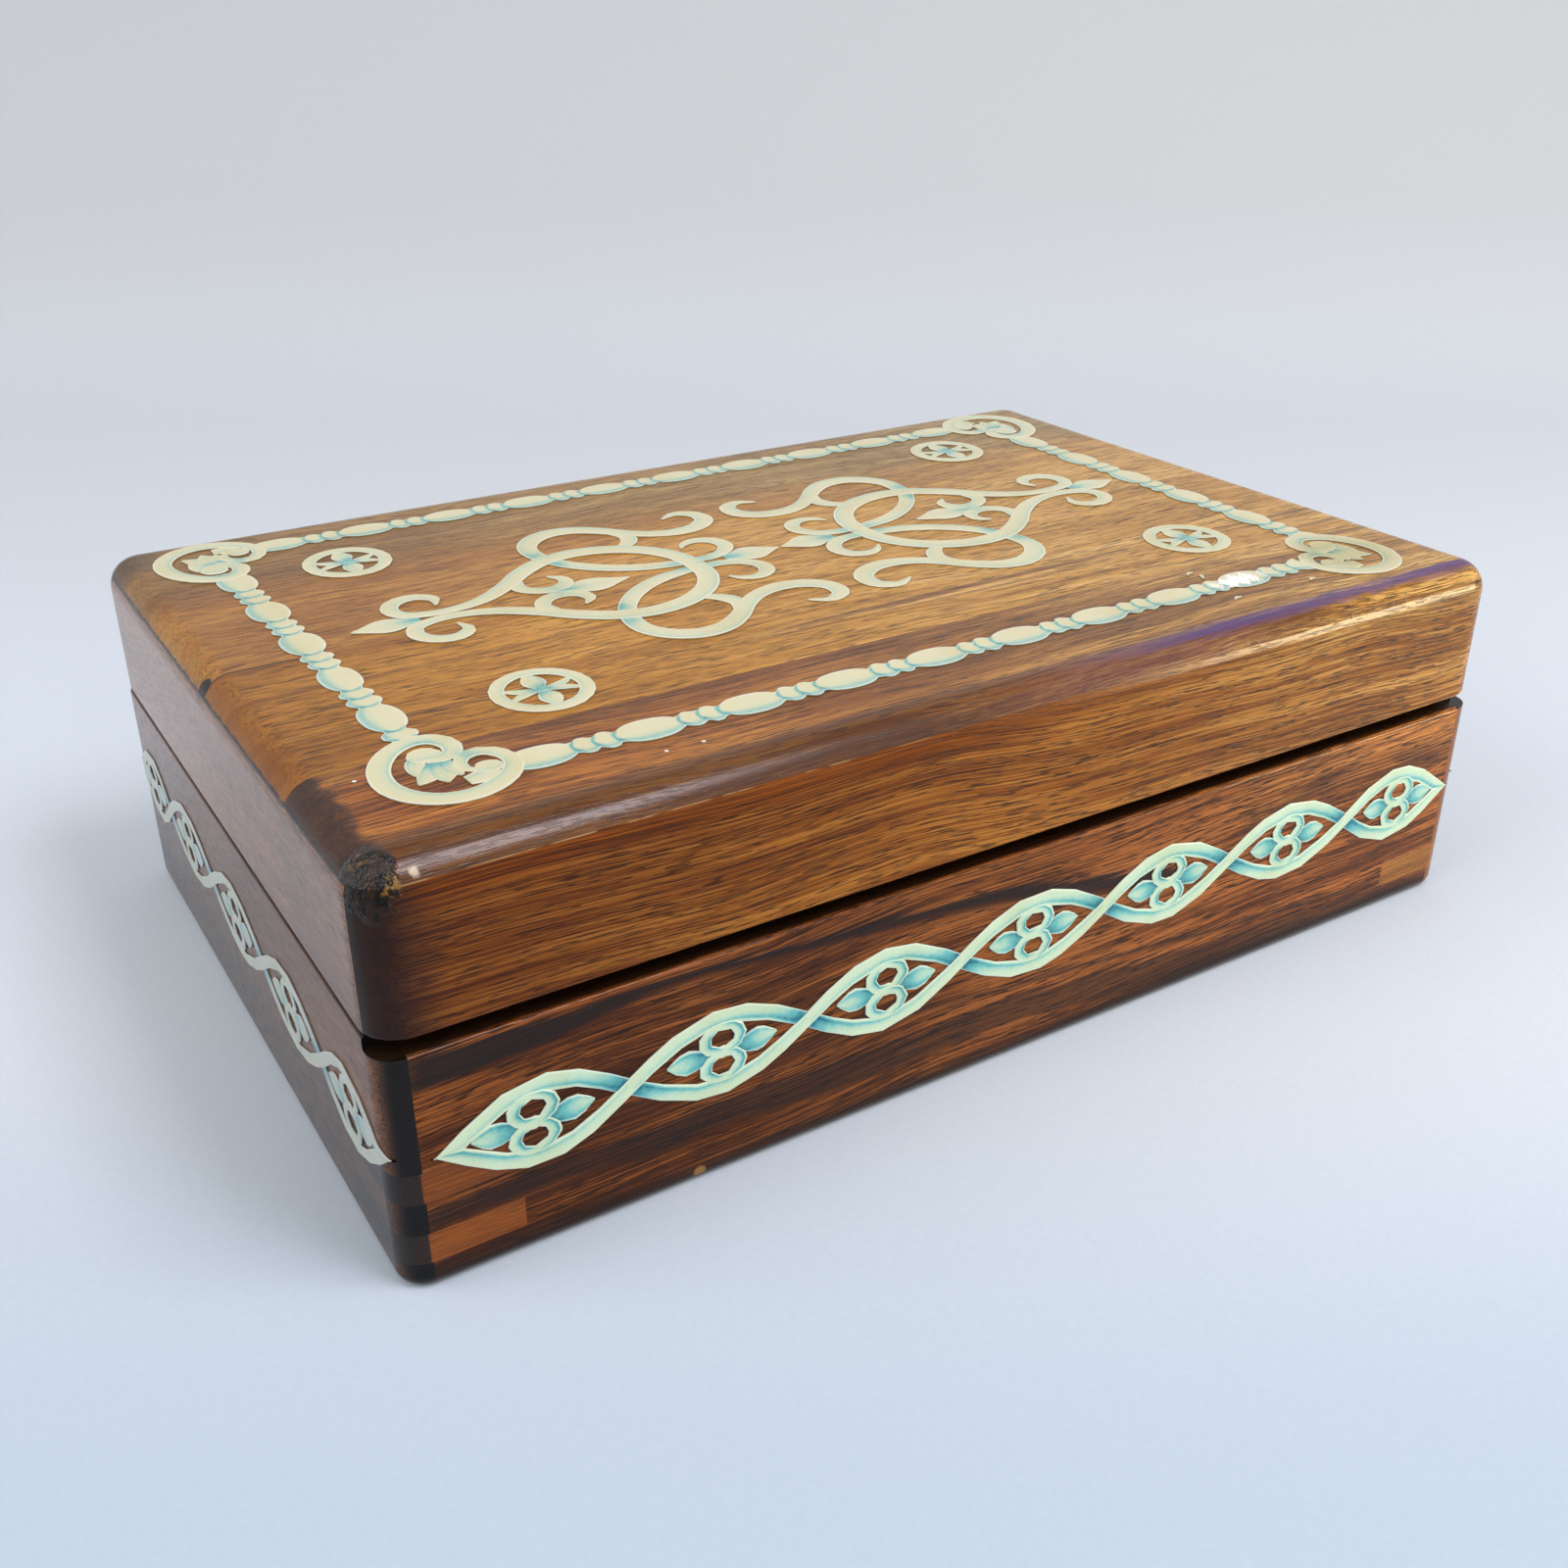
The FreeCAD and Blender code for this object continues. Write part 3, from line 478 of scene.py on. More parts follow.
def middle_plank_zones(shader, tint, at):
    """Golden at the left, with dark lines in front and the crack at the back joint."""
    tint = shader.scale(shader.step(at.x, -40.0, -95.0), tint, (0.68, 0.6, 0.37))
    tint = shader.scale(shader.step(at.x, -75.0, 45.0), tint, (1.15, 1.42, 3.5))
    wavy = shader.math("SUBTRACT", shader.linear(at.figure, 3.0, at.y), 1.5)
    patch = shader.step(at.cloud, 0.44, 0.58)
    for level, width, depth in DARK_LINES:
        line = shader.near(wavy, level, width, width * 3.0)
        tint = shader.cover(tint, (84, 44, 22), line, patch, depth)
    crack = shader.times(shader.near(at.y, 0.3, 0.12, 0.4), shader.step(at.x, -82.0, -88.0))
    tint = shader.cover(tint, (40, 22, 13), crack)
    worn = shader.times(shader.step(at.x, -94.0, -98.5), 0.45)
    tint = shader.cover(tint, (112, 62, 32), worn)
    return plank_lines(shader, notch(shader, tint, at), at)


def back_plank_zones(shader, tint, at):
    """Greyer brown, darker along the back edge and at the back left corner, with old glue at the left end."""
    tint = shader.scale(shader.step(at.x, -70.0, 70.0), tint, (1.04, 1.22, 2.1))
    tint = shader.scale(shader.step(at.x, -10.0, -80.0), tint, (0.78, 0.74, 0.74))
    dull = shader.times(shader.step(at.y, 28.0, 42.0), 0.8)
    tint = shader.scale(dull, tint, (0.56, 0.68, 1.15))
    smudge = shader.step(shader.away(at.spot, (-98.0, 58.0, 61.0)), 9.0, 2.0)
    tint = shader.cover(tint, (58, 44, 38), smudge, 0.7)
    glue = shader.step(shader.noise(at.spot, 0.8, 3.0), 0.5, 0.6)
    glue = shader.times(glue, shader.step(at.x, -97.0, -98.6), shader.step(at.y, 26.0, 22.0), 0.8)
    tint = shader.cover(tint, (140, 104, 40), glue)
    return plank_lines(shader, notch(shader, tint, at), at)


# White specks on the front plank.
SPECKS = [(-91.5, -43.0), (-54.5, -56.0), (-49.0, -56.0)]


def front_plank_zones(shader, tint, at):
    """Purplish heartwood with a golden patch at the left, a dark left end and a dark front edge, with painted
    reflection in purple and blue along the rounded front edge.
    """
    tint = shader.scale(shader.step(at.x, -30.0, 60.0), tint, (1.72, 2.5, 4.4))
    gold = shader.times(shader.step(at.x, -20.0, -80.0), shader.near(at.y, -51.0, 5.0, 11.0))
    tint = shader.scale(shader.times(gold, 0.8), tint, (1.3, 1.15, 0.85))
    wavy = shader.linear(shader.math("SUBTRACT", at.fibre, 0.5), 6.0, at.y)
    edge = shader.times(shader.step(wavy, -58.6, -60.4), shader.step(at.x, 40.0, -30.0))
    tint = shader.cover(tint, (62, 36, 24), edge, 0.7)
    # Purple and blue bands along the rounded front edge: painted reflection.
    plum_reflection = shader.times(shader.step(wavy, -59.0, -61.0), shader.step(at.x, -15.0, 10.0),
                        shader.step(at.x, 60.0, 30.0))
    tint = shader.cover(tint, (90, 48, 50), plum_reflection, 0.62)
    blue = shader.times(shader.near(wavy, -62.2, 0.8, 1.6), shader.step(at.x, 0.0, 40.0))
    tint = shader.cover(tint, (82, 62, 108), blue, 0.85)
    blot = shader.math("SUBTRACT", shader.noise(at.spot, 0.35, 3.0), 0.5)
    blot = shader.linear(blot, 6.0, at.x)
    tint = shader.cover(tint, (38, 27, 24), shader.step(blot, -93.5, -96.5), 0.88)
    for u, v in SPECKS:
        speck = shader.step(shader.away(at.spot, (u, v, TOP)), 0.36, 0.2)
        tint = shader.cover(tint, (232, 228, 220), speck)
    return broken_corner(shader, plank_lines(shader, tint, at), at)


def lid_side_zones(shader, tint, at):
    """A darker strip toward the front, ending at a straight joint line."""
    tint = shader.scale(shader.step(at.y, -36.1, -36.5), tint, (0.72, 0.70, 0.70))
    tint = shader.cover(tint, (40, 26, 18), shader.near(at.y, -36.3, 0.05, 0.25), 0.6)
    return plank_lines(shader, tint, at)


# Paper ornament: hand-cut strips laid flat in mm, then wrapped on a face of the box.
# STEP is the distance between the rows of points along a strip, and THINNEST its least width.
STEP = 0.36
THINNEST = 0.16


def smooth_line(points, widths, closed=False):
    """Evenly spaced places and widths on a smooth line through the given ones."""
    knots = np.array([(u, v, width) for (u, v), width in zip(points, widths)], float)
    if closed:
        knots = np.vstack([knots[-1:], knots, knots[:2]])
    reach = np.hypot(*np.diff(knots[:, :2], axis=0).T)
    where = np.concatenate([[0.0], np.cumsum(reach)])
    slopes = np.gradient(knots, where, axis=0)
    first, last = (where[1], where[-2]) if closed else (0.0, where[-1])
    count = max(4, int(round((last - first) / STEP)))
    at = np.linspace(first, last, count + 1)
    if closed:
        at = at[:-1]
    k = np.clip(np.searchsorted(where, at, side="right") - 1, 0, len(where) - 2)
    gap = where[k + 1] - where[k]
    t = ((at - where[k]) / gap)[:, None]
    gap = gap[:, None]
    return ((1 + 2 * t) * (1 - t) ** 2 * knots[k] + t * (1 - t) ** 2 * gap * slopes[k]
            + t ** 2 * (3 - 2 * t) * knots[k + 1] + t ** 2 * (t - 1) * gap * slopes[k + 1])


def hand_cut(outline, rows, closed=False):
    """The outline as scissors leave it: straight between cuts that are a few rows apart."""
    count = len(outline)
    cuts = [0]
    while cuts[-1] + 1.6 * rows < count:
        cuts.append(cuts[-1] + max(1, int(round(rows * CHANCE.uniform(0.75, 1.25)))))
    cuts.append(count if closed else count - 1)
    at = np.arange(count)
    corners = outline[np.array(cuts) % count]
    return np.column_stack([np.interp(at, cuts, corners[:, i]) for i in range(2)])


def sideways(centre, closed=False):
    """The direction to the left of a line at each of its places."""
    if closed:
        ahead = np.roll(centre, -1, axis=0) - np.roll(centre, 1, axis=0)
    else:
        ahead = np.gradient(centre, axis=0)
    ahead /= np.linalg.norm(ahead, axis=1)[:, None]
    return np.column_stack([-ahead[:, 1], ahead[:, 0]])


# The cross-section of a strip: place across it, part of its height, white rim, and grime with painted shade
# at the foot of its cut edges.
ACROSS = np.array([-1.0, -1.0, -0.88, -0.72, -0.5, -0.25, 0.0, 0.25, 0.5, 0.72, 0.88, 1.0, 1.0])
HEIGHT = np.array([0.0, 0.8, 1.0, 1.0, 1.0, 1.0, 1.0, 1.0, 1.0, 1.0, 1.0, 0.8, 0.0])
RIM = np.array([0.0, 1.0, 0.2, 0.0, 0.0, 0.0, 0.0, 0.0, 0.0, 0.0, 0.2, 1.0, 0.0])
GRIME_AND_SHADE = np.array([1.0, 0.1, 0.0, 0.0, 0.0, 0.0, 0.0, 0.0, 0.0, 0.0, 0.0, 0.1, 1.0])


class Paper:
    """Cut paper pieces gathered on one flat sheet, in mm."""

    def __init__(self):
        self.points = []
        self.faces = []
        self.layers = {"wash": [], "rim": [], "grime_and_shade": []}
        self.count = 0

    def band(self, left, right, wash, lift=0.0, closed=False):
        """A piece between two outlines, a hair off the level of any other.
        wash(t, along, places) is its blue tint."""
        rows, columns = len(left), len(ACROSS)
        t = np.tile(ACROSS, (rows, 1))
        places = (left[:, None, :] * (1 + t[..., None]) + right[:, None, :] * (1 - t[..., None])) / 2
        along = np.tile(np.linspace(0.0, 1.0, rows)[:, None], (1, columns))
        lift = np.broadcast_to(np.asarray(lift, float), (rows,))
        lift = lift + PAPER_STEP * (len(self.points) % PAPER_STEPS)
        if not closed:
            lift = lift + PAPER_RISE * along[:, 0]
        height = HEIGHT[None, :] * (PAPER + lift[:, None])
        self.points.append(np.dstack([places, height]).reshape(-1, 3))
        self.layers["wash"].append(np.clip(wash(t, along, places), 0.0, 1.0).reshape(-1))
        self.layers["rim"].append(np.tile(RIM, rows))
        self.layers["grime_and_shade"].append(np.tile(GRIME_AND_SHADE, rows))
        for row in range(rows if closed else rows - 1):
            here = self.count + row * columns
            there = self.count + (row + 1) % rows * columns
            for column in range(columns):
                beside = (column + 1) % columns
                self.faces.append((here + column, there + column, there + beside, here + beside))
        if not closed:
            last = self.count + (rows - 1) * columns
            self.faces.append(tuple(range(self.count, self.count + columns)))
            self.faces.append(tuple(reversed(range(last, last + columns))))
        self.count += rows * columns

    def strip(self, points, widths, wash=None, cut=1.2, lift=0.0, closed=False, inner_cut=None):
        """A strip of changing width along a smooth line. cut is the length of the scissor cuts."""
        line = smooth_line(points, widths, closed)
        centre, half = line[:, :2], np.maximum(line[:, 2:], THINNEST) / 2
        side = sideways(centre, closed)
        left = hand_cut(centre + side * half, (inner_cut or cut) / STEP, closed)
        right = hand_cut(centre - side * half, cut / STEP, closed)
        self.band(left, right, wash or plain_wash, lift, closed)

    def ring(self, centre, radius, width, wash=None, cut=1.6, lift=0.0, tall=1.0, slim=0.0, inner_cut=None):
        """A ring, tall times as high as it is wide, with its band slimmer at top and bottom."""
        turn = np.linspace(0, 2 * np.pi, 24, endpoint=False)
        points = [(centre[0] + radius * math.cos(a), centre[1] + tall * radius * math.sin(a)) for a in turn]
        self.strip(points, width * (1.0 - slim * np.sin(turn) ** 2), wash, cut, lift, True, inner_cut)

    def leaf(self, base, tip, widths, wash=None, cut=1.0, lift=0.0, bend=0.0):
        """A leaf from base to tip, bent to its left by bend."""
        base, tip = np.array(base), np.array(tip)
        left = np.array([base[1] - tip[1], tip[0] - base[0]]) / np.linalg.norm(tip - base)
        part = np.linspace(0.0, 1.0, len(widths))
        points = [base + (tip - base) * p + left * bend * 4 * p * (1 - p) for p in part]
        self.strip(points, widths, wash, cut, lift)

    def oval(self, centre, half_length, half_width, wash=None, lift=0.0):
        reach = np.sin(np.linspace(-0.5, 0.5, 9) * np.pi)
        points = [(centre[0] + half_length * r, centre[1]) for r in reach]
        self.strip(points, 2 * half_width * np.sqrt(1.02 - reach ** 2), wash, 0.7, lift)

    def lay(self, name, surface, body, material, node):
        """Makes the mesh on a face of the box, in place of the plain solid."""
        mesh = bpy.data.meshes.new(name)
        mesh.from_pydata(surface(np.vstack(self.points)) * MM, [], self.faces)
        for key, values in self.layers.items():
            layer = mesh.attributes.new(key, "FLOAT", "POINT")
            layer.data.foreach_set("value", np.concatenate(values))
        mesh.materials.append(material)
        mesh.update()
        piece = add_object(name, mesh)
        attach(piece, body)
        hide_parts(node)


def bell(distance, width):
    """1 at no distance, falling to 0 beyond about twice the width."""
    return np.exp(-(distance / width) ** 2)


def plain_wash(t, along, places):
    return np.full_like(t, 0.06)


def line_wash(t, side, amount, place):
    """A blue line along one side of a strip, crisp outward and fading inward: side 1 is its left."""
    inward = place - t * side
    return amount * np.where(inward > 0, np.exp(-np.abs(inward) / 0.42), bell(inward, 0.1))


def edge_wash(side, amount, place=0.62):
    return lambda t, along, places: 0.04 + line_wash(t, side, amount, place)


def spot_wash(wash, *spots):
    """Adds blue patches, each (u, v, radius, amount)."""
    def together(t, along, places):
        total = wash(t, along, places)
        for u, v, radius, amount in spots:
            away = np.hypot(places[..., 0] - u, places[..., 1] - v)
            total = total + amount * bell(away, radius)
        return total
    return together


def leaf_wash(t, along, places):
    return 0.06 + 0.7 * bell(along, 0.4) + line_wash(t, -1, 0.5, 0.75) + line_wash(t, 1, 0.35, 0.8)


def petal_wash(t, along, places):
    return 0.04 + 0.5 * bell(along, 0.3) + line_wash(t, -1, 0.35, 0.8) + 0.1 * bell(t, 0.2)


def bud_wash(t, along, places):
    return 0.04 + 0.5 * bell(along, 0.3) + 0.22 * bell(t, 0.2) * (1 - along)


def on_top(flat):
    return flat + np.array([0.0, 0.0, TOP])


def on_wall(side):
    """Wraps a flat sheet on a wall of the base and round its corners."""
    half_run, depth = (HALF_WIDTH, HALF_DEPTH) if side in ("front", "back") else (HALF_DEPTH, HALF_WIDTH)
    turn = {"front": 0.0, "right": 90.0, "back": 180.0, "left": -90.0}[side]

    def wrap(flat):
        u, v, height = flat.T
        straight = half_run - BASE_RADIUS
        run = np.clip(u, -straight, straight)
        angle = (u - run) / BASE_RADIUS
        x = run + (BASE_RADIUS + height) * np.sin(angle)
        y = -(depth - BASE_RADIUS) - (BASE_RADIUS + height) * np.cos(angle)
        c, s = math.cos(math.radians(turn)), math.sin(math.radians(turn))
        return np.column_stack([x * c - y * s, x * s + y * c, v])
    return wrap


# The ribbon of crossing strands round the base: height of its loops, and width of a strand and of a leaf.
RISE = 5.7
BAND = 2.6
LEAF_WIDTHS = [1.4, 2.4, 3.4, 3.9, 2.6, 0.25]


def ribbon(crossings, levels, blue=1.0, slim=0.0):
    """Two strands that cross between flowers. levels gives the middle height at each crossing."""
    paper = Paper()
    lean = math.atan(math.pi * RISE / (crossings[1] - crossings[0]))
    inset = BAND / 2 / math.sin(lean)
    knots = np.array(crossings, float)
    knots[0] += inset
    knots[-1] -= inset
    for first in (1, -1):
        strand(paper, knots, levels, first, slim)
    for loop in range(len(knots) - 1):
        middle = (crossings[loop] + crossings[loop + 1]) / 2
        flower(paper, middle + CHANCE.uniform(-0.4, 0.4), (levels[loop] + levels[loop + 1]) / 2, slim)
    paper.layers["wash"] = [blue * wash for wash in paper.layers["wash"]]
    return paper


def strand(paper, knots, levels, first, slim):
    """One strand. first is 1 where it starts above the middle and -1 where it starts below."""
    loops = len(knots) - 1
    last = first if loops % 2 == 1 else -first
    lean = math.atan(math.pi * RISE / (knots[1] - knots[0]))
    back = 0.85 * BAND
    points = [(knots[0] - back * math.cos(lean), levels[0] - first * back * math.sin(lean))]
    for loop in range(loops):
        turn = first if loop % 2 == 0 else -first
        for part in np.arange(12) / 12:
            points.append((knots[loop] + (knots[loop + 1] - knots[loop]) * part,
                           levels[loop] + (levels[loop + 1] - levels[loop]) * part
                           + turn * RISE * math.sin(math.pi * part)))
    points.append((knots[-1], levels[-1]))
    points.append((knots[-1] + back * math.cos(lean), levels[-1] - last * back * math.sin(lean)))
    centre = smooth_line(points, [BAND] * len(points))[:, :2]
    u = centre[:, 0]
    loop = np.clip(np.searchsorted(knots, u, side="right") - 1, 0, loops - 1)
    part = np.clip((u - knots[loop]) / np.diff(knots)[loop], 0.0, 1.0)[:, None]
    upper = np.where(loop % 2 == 0, first, -first)[:, None] > 0
    half = (BAND / 2) * (0.84 + (0.18 - slim) * np.sin(np.pi * part))
    side = sideways(centre)
    cut = 5.0 / STEP
    left = hand_cut(centre + side * half, cut)
    right = hand_cut(centre - side * half, cut)
    for outline in (left, right):
        for zone, sign, level in ((u < knots[0] + 3, first, levels[0]),
                                  (u > knots[-1] - 3, last, levels[-1])):
            outline[zone, 1] = level + sign * np.maximum(sign * (outline[zone, 1] - level), 0.0)
    to_left = (u - knots[loop])[:, None]
    to_right = (knots[loop + 1] - u)[:, None]
    under = np.where(upper, (loop < loops - 1)[:, None] * np.exp(-np.maximum(to_right - 1.2, 0.0) / 1.9),
                     (loop > 0)[:, None] * np.exp(-np.maximum(to_left - 1.2, 0.0) / 1.9))

    def wash(t, along, places):
        eye = np.where(upper, -t, t)
        strength = 0.22 + 0.55 * np.where(upper, part, 1 - part) ** 1.3
        return 0.08 + line_wash(eye, 1, 1.0, 0.6) * strength + 0.8 * under
    rising = np.where(upper, to_left, to_right)[:, 0]
    paper.band(left, right, wash, 0.05 * bell(rising, 5.0))


def flower(paper, u, v, slim):
    """Two rings and two leaves in the eye of a loop."""
    def ring_wash(t, along, places):
        turn = 2 * np.pi * along
        inner_left = np.clip(-np.cos(turn - 0.4), 0, 1) * line_wash(t, 1, 1.0, 0.75)
        outer_right = np.clip(np.cos(turn - 0.2), 0, 1) * line_wash(t, -1, 0.9, 0.5)
        return 0.12 + 0.85 * inner_left + 0.75 * outer_right
    for end in (-1, 1):
        paper.leaf((u + end * 1.6, v - 0.1), (u + end * 8.6, v + 0.3), LEAF_WIDTHS, leaf_wash, 1.3)
    paper.oval((u, v), 1.3, 1.0)
    for end in (-1, 1):
        paper.ring((u, v + end * 2.2), 2.85, 1.9 - slim, ring_wash, cut=1.1, lift=0.03, tall=0.74,
                   slim=0.4, inner_cut=2.2)


# Scrolls, medallions, corners and bead borders of the lid.
SCROLL_CENTRE = (0.8, 5.6)
STEM = [(61.1, 4.6), (60.4, 7.6), (63.0, 9.9), (66.3, 9.2), (68.2, 6.2), (67.3, 3.1), (63.8, 1.5),
        (58.8, 1.4), (53.8, 3.0), (48.8, 6.4), (43.8, 11.2), (38.8, 14.6), (32.8, 16.0), (25.8, 14.5),
        (20.5, 10.6), (17.6, 5.4), (16.9, 0.0)]
STEM_WIDTHS = [0.4, 2.0, 2.6, 2.8, 2.8, 2.6, 2.3, 2.3, 2.8, 3.2, 3.5, 3.6, 3.7, 3.7, 3.7, 3.7, 3.7]
SIDE_LOOP = [(18.6, 1.8), (24.8, 3.2), (29.8, 5.8), (33.8, 9.4), (36.4, 13.4), (37.8, 17.9), (37.8, 21.9),
             (35.6, 25.8), (31.3, 28.2), (26.8, 27.7), (22.8, 25.0), (19.4, 21.4), (15.8, 18.5),
             (11.3, 17.0), (6.5, 17.8), (3.4, 20.9), (3.6, 24.5), (6.6, 26.4), (10.0, 24.8)]
SIDE_WIDTHS = [2.6, 3.0, 3.0, 3.0, 3.0, 3.2, 3.4, 3.7, 3.8, 3.6, 3.3, 3.0, 3.0, 3.3, 3.5, 3.4, 3.0, 2.0, 0.4]
LOOP_TIE = [(21.6, 23.0), (19.9, 19.2), (21.2, 16.2), (23.6, 14.4)]
TIE_WIDTHS = [1.6, 3.0, 2.8, 1.6]
INNER_CURL = [(46.3, 7.6), (46.8, 4.4), (44.8, 2.0), (41.9, 1.4), (39.4, 2.8), (38.9, 5.2), (40.7, 7.4)]
INNER_WIDTHS = [2.4, 2.6, 2.6, 2.7, 2.6, 2.0, 0.4]
TIP_CURL = [(15.6, 1.7), (12.3, 1.9), (9.2, 3.4), (7.5, 6.5), (8.4, 9.5), (11.2, 10.9), (13.8, 9.9),
            (15.0, 8.3)]
TIP_WIDTHS = [2.2, 2.4, 2.6, 2.8, 2.7, 2.1, 1.3, 0.4]
# Buds: base, tip and widths.
BUDS = [((42.0, 0.0), (29.3, 0.0), [1.8, 3.4, 5.6, 5.4, 2.8, 0.3]),
        ((11.0, 0.0), (0.3, 0.0), [1.8, 3.6, 6.0, 5.6, 2.8, 0.3]),
        ((65.5, 0.0), (76.4, 0.0), [1.8, 3.4, 5.4, 5.2, 2.7, 0.3])]


def scroll(out):
    """One half of the middle scroll. out is 1 to the right and -1 to the left."""
    paper = Paper()

    def place(points, across):
        return [(SCROLL_CENTRE[0] + out * u, SCROLL_CENTRE[1] + across * v) for u, v in points]
    for base, tip, widths in BUDS:
        base, tip = place([base, tip], 1)
        paper.leaf(base, tip, widths, bud_wash, 0.9, 0.01)
    for across in (1, -1):
        crossing, beyond, foot = place([(36.9, 12.2), (37.9, 18.2), (18.6, 1.8)], across)
        shade = edge_wash(-out * across, 0.3, 0.78)
        spots = [(*crossing, 2.0, 0.4), (*beyond, 1.9, 0.35), (*foot, 3.0, 0.3)]
        paper.strip(place(SIDE_LOOP, across), SIDE_WIDTHS, spot_wash(shade, *spots), 1.3, 0.02)
        paper.strip(place(LOOP_TIE, across), TIE_WIDTHS, shade, 1.2, 0.0)
        paper.strip(place(INNER_CURL, across), INNER_WIDTHS,
                    spot_wash(shade, (*place([(42.0, 0.0)], 1)[0], 2.2, 0.3)), 0.8, 0.03)
        paper.strip(place(TIP_CURL, across), TIP_WIDTHS,
                    spot_wash(shade, (*place([(14.8, 0.0)], 1)[0], 3.0, 0.4)), 0.8, 0.03)
        paper.strip(place(STEM, across), STEM_WIDTHS, shade, 1.3, 0.05)
    return paper


MEDALLIONS = [(-60.0, -29.5), (63.6, -28.8), (-65.4, 38.0), (62.6, 39.6)]
# Petals of a star: direction in degrees, width and bend.
PETALS = [(90, 3.6, 0.0), (270, 3.4, 0.0), (22, 1.6, -0.5), (158, 1.6, 0.5), (202, 1.6, -0.5),
          (338, 1.6, 0.5)]


def medallions():
    """Four rings with a star of two broad and four thin petals."""
    paper = Paper()
    for u, v in MEDALLIONS:
        for angle, wide, bend in PETALS:
            c, s = math.cos(math.radians(angle)), math.sin(math.radians(angle))
            widths = [0.8, 0.8 * wide, wide, 0.75 * wide, 0.3 * wide]
            base, tip = (u + 0.3 * c, v + 0.3 * s), (u + 5.8 * c, v + 5.8 * s)
            paper.leaf(base, tip, widths, petal_wash, bend=bend)
        paper.ring((u, v), 6.35, 2.2, edge_wash(1, 0.28, 0.7), cut=1.7, lift=0.03, tall=1.05)
        paper.oval((u, v), 0.9, 0.9, lambda t, along, places: np.full_like(t, 0.55), 0.04)
    return paper


CORNER_CENTRE = (-80.6, -45.4)
CORNER_RING = [(-82.6, -42.4), (-80.3, -43.1), (-78.2, -42.0), (-77.6, -39.6), (-78.9, -37.0), (-81.4, -36.1),
               (-84.2, -37.1), (-87.0, -40.0), (-88.6, -44.0), (-88.6, -48.0), (-86.8, -51.6), (-83.8, -53.9),
               (-80.3, -54.5), (-76.8, -53.5), (-73.9, -51.2), (-72.5, -48.3), (-72.9, -45.6), (-74.7, -43.6),
               (-76.9, -43.6), (-78.5, -45.2), (-78.6, -47.4), (-77.4, -48.8)]
CORNER_WIDTHS = [1.0, 2.2, 2.6, 2.9, 3.0, 3.0, 3.0, 3.1, 3.1, 3.1, 3.1, 3.1, 3.1, 3.0, 2.8, 2.5, 2.4, 2.4,
                 2.2, 1.9, 1.6, 0.8]
# Petals of the tulip: base, tip, widths and bend.
TULIP = [((-82.4, -40.8), (-84.6, -46.2), [1.6, 2.6, 2.2, 0.4], -0.3),
         ((-81.2, -43.8), (-85.2, -48.7), [1.8, 3.2, 3.4, 2.4, 0.3], 0.4),
         ((-80.8, -43.6), (-81.7, -49.8), [1.8, 3.6, 4.0, 2.8, 0.3], 0.0),
         ((-80.0, -43.8), (-79.4, -48.8), [1.4, 2.6, 2.6, 0.4], -0.3)]
# Each corner: its centre, and 1 or -1 for its turn to the right and to the back.
CORNERS = [(-80.6, -45.4, 1, 1), (79.6, -48.6, -1, 1), (-84.5, 50.3, 1, -1), (82.2, 50.3, -1, -1)]


def corners():
    """A ring at each corner that rolls into two volutes, round a tulip."""
    paper = Paper()
    for u, v, right, back in CORNERS:
        def place(*points):
            return [(u + right * (a - CORNER_CENTRE[0]), v + back * (b - CORNER_CENTRE[1]))
                    for a, b in points]
        inward = right * back
        for base, tip, widths, bend in TULIP:
            base, tip = place(base, tip)
            paper.leaf(base, tip, widths, petal_wash, 0.9, 0.0, bend * inward)
        upper, lower = place((-81.7, -41.0), (-75.8, -48.3))
        paper.oval(upper, 2.3, 2.2, edge_wash(-1, 0.3), 0.01)
        paper.oval(lower, 1.9, 1.8, edge_wash(-1, 0.3), 0.01)
        foot = place((-75.2, -49.8), (-77.4, -50.5), (-79.6, -50.7))
        paper.strip(foot, [3.2, 3.6, 2.4], edge_wash(-inward, 0.4), 0.8)
        rolls = [(*place((-81.0, -38.2))[0], 2.0, 0.25), (*place((-77.0, -43.2))[0], 1.6, 0.35)]
        shade = spot_wash(edge_wash(inward, 0.34, 0.75), *rolls)
        paper.strip(place(*CORNER_RING), CORNER_WIDTHS, shade, 1.5, 0.03)
    return paper


